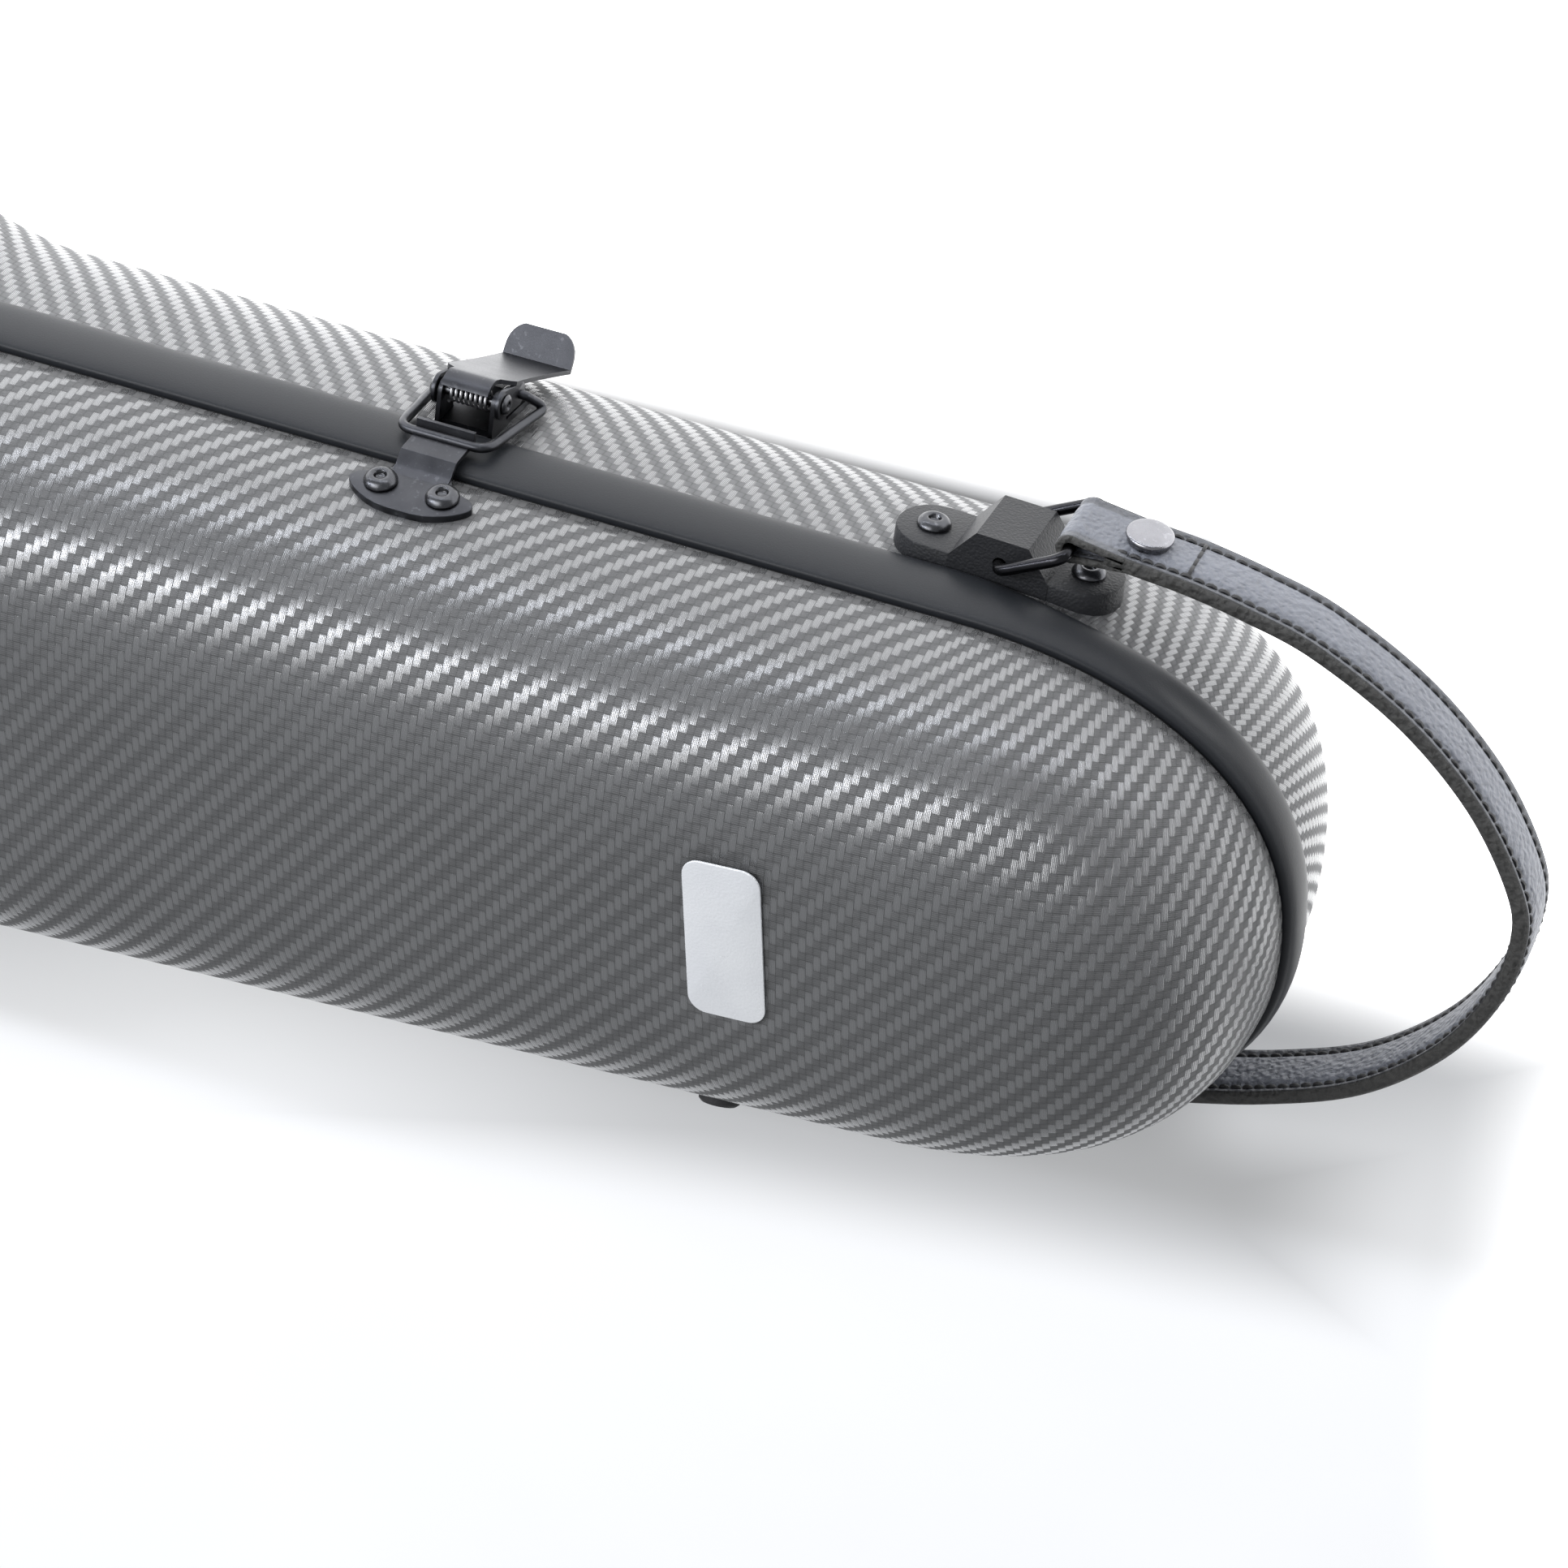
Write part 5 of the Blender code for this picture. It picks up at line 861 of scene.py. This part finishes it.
corners = mirrored([(end, HANDLE_OUT, 0), (inner, HANDLE_OUT, 0), (inner, HANDLE_OUT, -DROP)])
shape = moved(tube(soft_path(corners, BOW_CUT), HANDLE_WIRE, 20), wall)
add_piece("handle_wire", shape, black_steel, 60.0, "handle", "black_steel", "handle_bow")
grip_hide = Finish("grip_leather")
spot = grip_hide.spot()
pebble, wrinkle = grip_hide.pebbles(spot, 700.0), grip_hide.clouds(spot, 320.0, 6.0, 0.8)
color = wrinkle.pick((0.04, 0.043, 0.052), (0.12, 0.128, 0.15))
rough, height = wrinkle * 0.2 + 0.42, pebble + wrinkle * 0.8
grip_leather = grip_hide.done(color, rough, height, 0.0003, 0.4, Sheen_Weight=0.1)
rows = []
for k in range(GRIP_STEPS + 1):
    along = GRIP_LENGTH * (k / GRIP_STEPS - 0.5)
    round_end = max(0.0, abs(along) - GRIP_LENGTH / 2 + GRIP_END) / GRIP_END
    radius = (GRIP_RADIUS - GRIP_SKIN) * (1 - WAIST * (1 + cos(2 * pi * k / GRIP_STEPS)))
    radius *= 1 - END_DROP * (1 - sqrt(max(0.0, 1 - round_end**2)))
    row = ring(1.0, along, GRIP_SIDES)
    for s, point in enumerate(row):
        t = 2 * pi * min(s, GRIP_SIDES - s) / GRIP_SIDES
        dent = 1 - SEAM_DENT * exp(-((t / DENT_WIDTH) ** 2))
        ripple = 1 + GRIP_RIPPLE * noise.noise(Vector((along * 90, point.x * 1.5, point.y * 1.5)))
        point.xy = point.xy * (radius * dent * ripple)
    rows.append(row)
bore = [ring(HANDLE_WIRE + GAP, end, GRIP_SIDES) for end in (-GRIP_LENGTH / 2, GRIP_LENGTH / 2)]
lying = wall @ Matrix.Translation((0, HANDLE_OUT, -DROP)) @ CROSSWISE
shape = moved(grid_over([bore[0], *rows, bore[1], bore[0]]), lying)
grip = add_piece("grip_sleeve", shape, grip_leather, 70.0, "handle", "grey_leather", "handle_grip")
threads = []
for k in range(GRIP_STITCHES):
    start = GRIP_SEAM_START - GRIP_LENGTH / 2 + k * GRIP_PITCH
    path = [Vector((GRIP_RADIUS * 0.93 + lift, 0.0, start + GRIP_STITCH * t)) for t, lift in
            ((0, -0.0004), (0.2, 0.0001), (0.5, 0.0002), (0.8, 0.0001), (1, -0.0004))]
    threads.append(tube(path, GRIP_THREAD, 6))
add_piece("grip_stitches", moved(joined(*threads), lying), waxed, 60.0, "handle", "grey_leather")

# Linings. Black plush is glued over foam that fills the base round a violin-shaped well, a neck slot and a
# small pocket, and over a thinner pad below the lid. Edges are soft, and the pile leans in clouds.
LINING_SKIN, LINING_TOP, LID_LINING = SHELL_WALL + 0.0007, 0.0845, 0.0076
WELL_START, WELL_LENGTH, WELL_WIDTH, WELL_FLOOR = 0.394, 0.366, 0.212, 0.026
WELL_OUTLINE = ((0.0, 0.0), (0.004, 0.26), (0.03, 0.52), (0.09, 0.74), (0.16, 0.81), (0.24, 0.78),
                (0.32, 0.68), (0.4, 0.58), (0.48, 0.56), (0.56, 0.6), (0.64, 0.76), (0.73, 0.95), (0.82, 1.0),
                (0.91, 0.87), (0.97, 0.62), (0.996, 0.3), (1.0, 0.0))
SLOT_START, SLOT_HALF, SLOT_FLOOR = 0.15, 0.03, 0.034
POCKET_START, POCKET_LENGTH, POCKET_HALF, POCKET_FLOOR, POCKET_CORNER = 0.042, 0.092, 0.042, 0.032, 0.012
LINING_ROWS, LINING_STEP, WALL_SOFT, RIM_WIDTH, RIM_DROP = 130, 0.0026, 0.0055, 0.006, 0.0025
PLUSH_RIPPLE = 0.0005
plush = Finish("black_plush")
spot = plush.spot()
pile, brushed = plush.clouds(spot, 2400.0, 2.0), plush.clouds(spot, 24.0, 4.0, 1.2)
color = (pile * 0.5 + brushed * 0.5).pick((0.01, 0.01, 0.012), (0.055, 0.055, 0.062))
rough, height = brushed * 0.1 + 0.85, pile + brushed * 0.3
black_plush = plush.done(color, rough, height, 0.0004, 0.1, Sheen_Weight=0.5, Sheen_Roughness=0.4)


def well_half(along):
    """Half the well's width at a distance from the tip, or -1 beyond its ends."""
    share = (along - WELL_START) / WELL_LENGTH
    for (a, low), (b, high) in zip(WELL_OUTLINE, WELL_OUTLINE[1:]):
        if 0 < share < 1 and share <= b:
            return WELL_WIDTH / 2 * (low + (high - low) * (share - a) / (b - a))
    return -1.0


def lining_height(along, y):
    """The plush's height, level but for soft-edged hollows."""
    height = LINING_TOP
    corner_x = max(0.0, abs(along - POCKET_START - POCKET_LENGTH / 2) - POCKET_LENGTH / 2 + POCKET_CORNER)
    corner_y = max(0.0, abs(y) - POCKET_HALF + POCKET_CORNER)
    hollows = [(hypot(corner_x, corner_y) - POCKET_CORNER, POCKET_FLOOR)]
    half = well_half(along)
    if half > 0:
        hollows.append((abs(y) - half, WELL_FLOOR))
    if along < WELL_START + WELL_LENGTH / 2:
        hollows.append((max(abs(y) - SLOT_HALF, SLOT_START - along), SLOT_FLOOR))
    for distance, floor in hollows:
        height = min(height, floor + (LINING_TOP - floor) * soft(distance / WALL_SOFT + 0.5))
    return height


ends = stations(LINING_SKIN)
fine = [ends[0]]
for a, b in zip(ends, ends[1:]):
    parts = max(1, round((b - a) / LINING_STEP))
    fine += [a + (b - a) * k / parts for k in range(1, parts + 1)]
rows = []
for row in range(LINING_ROWS + 1):
    t = 2 * row / LINING_ROWS - 1
    line = []
    for along in fine:
        edge = half_width(along, LINING_SKIN)
        y = edge * t
        rim = max(0.0, 1 - (edge - abs(y)) / RIM_WIDTH) ** 2 * RIM_DROP
        ripple = noise.noise(Vector((along * 60, y * 60, 3.0))) * PLUSH_RIPPLE
        line.append(Vector((CASE_LENGTH / 2 - along, y, lining_height(along, y) - rim + ripple * (rim == 0))))
    rows.append(line)
upper = grid_over(rows)
inside = [v for v in upper.verts if not v.is_boundary]
for _ in range(4):
    bmesh.ops.smooth_vert(upper, verts=inside, factor=0.5, use_axis_x=True, use_axis_y=True, use_axis_z=True)
levels = wall_levels(BASE_DEPTH, BASE_ROUND, BASE_FULLNESS, 16, LINING_SKIN)[::-1]
shares = [(along - LINING_SKIN) / (CASE_LENGTH - 2 * LINING_SKIN) for along in fine]
lower = []
for inset, rise in (*levels, (LINING_SKIN, BASE_DEPTH - LINING_TOP + RIM_DROP)):
    places = [inset + (CASE_LENGTH - 2 * inset) * share for share in shares]
    lower.append(level_line(inset, BASE_DEPTH - rise, places))
lower.insert(0, [Vector((p.x, 0, p.z)) for p in lower[0]])
shape = joined(upper, grid_over(lower))
bmesh.ops.remove_doubles(shape, verts=shape.verts, dist=WELD)
bmesh.ops.recalc_face_normals(shape, faces=shape.faces)
base_plush = add_piece("base_plush", shape, black_plush, 70.0, "base", "lining_velvet", "base_lining")

lid_levels = wall_levels(LID_DEPTH - LID_GAP, LID_ROUND, LID_FULLNESS, 20, LINING_SKIN)[::-1]
lines = flat_lines(lid_levels[0][0], lid_edge + lid_levels[0][1])
lines += [level_line(inset, lid_edge + rise) for inset, rise in lid_levels]
lid_plush = add_piece("lid_plush", grid_over(lines), black_plush, 70.0, "lid", "lining_velvet", "lid_lining")
pad = lid_plush.modifiers.new("pad", "SOLIDIFY")
pad.thickness, pad.offset = LID_LINING, -1.0

bpy.context.view_layer.update()
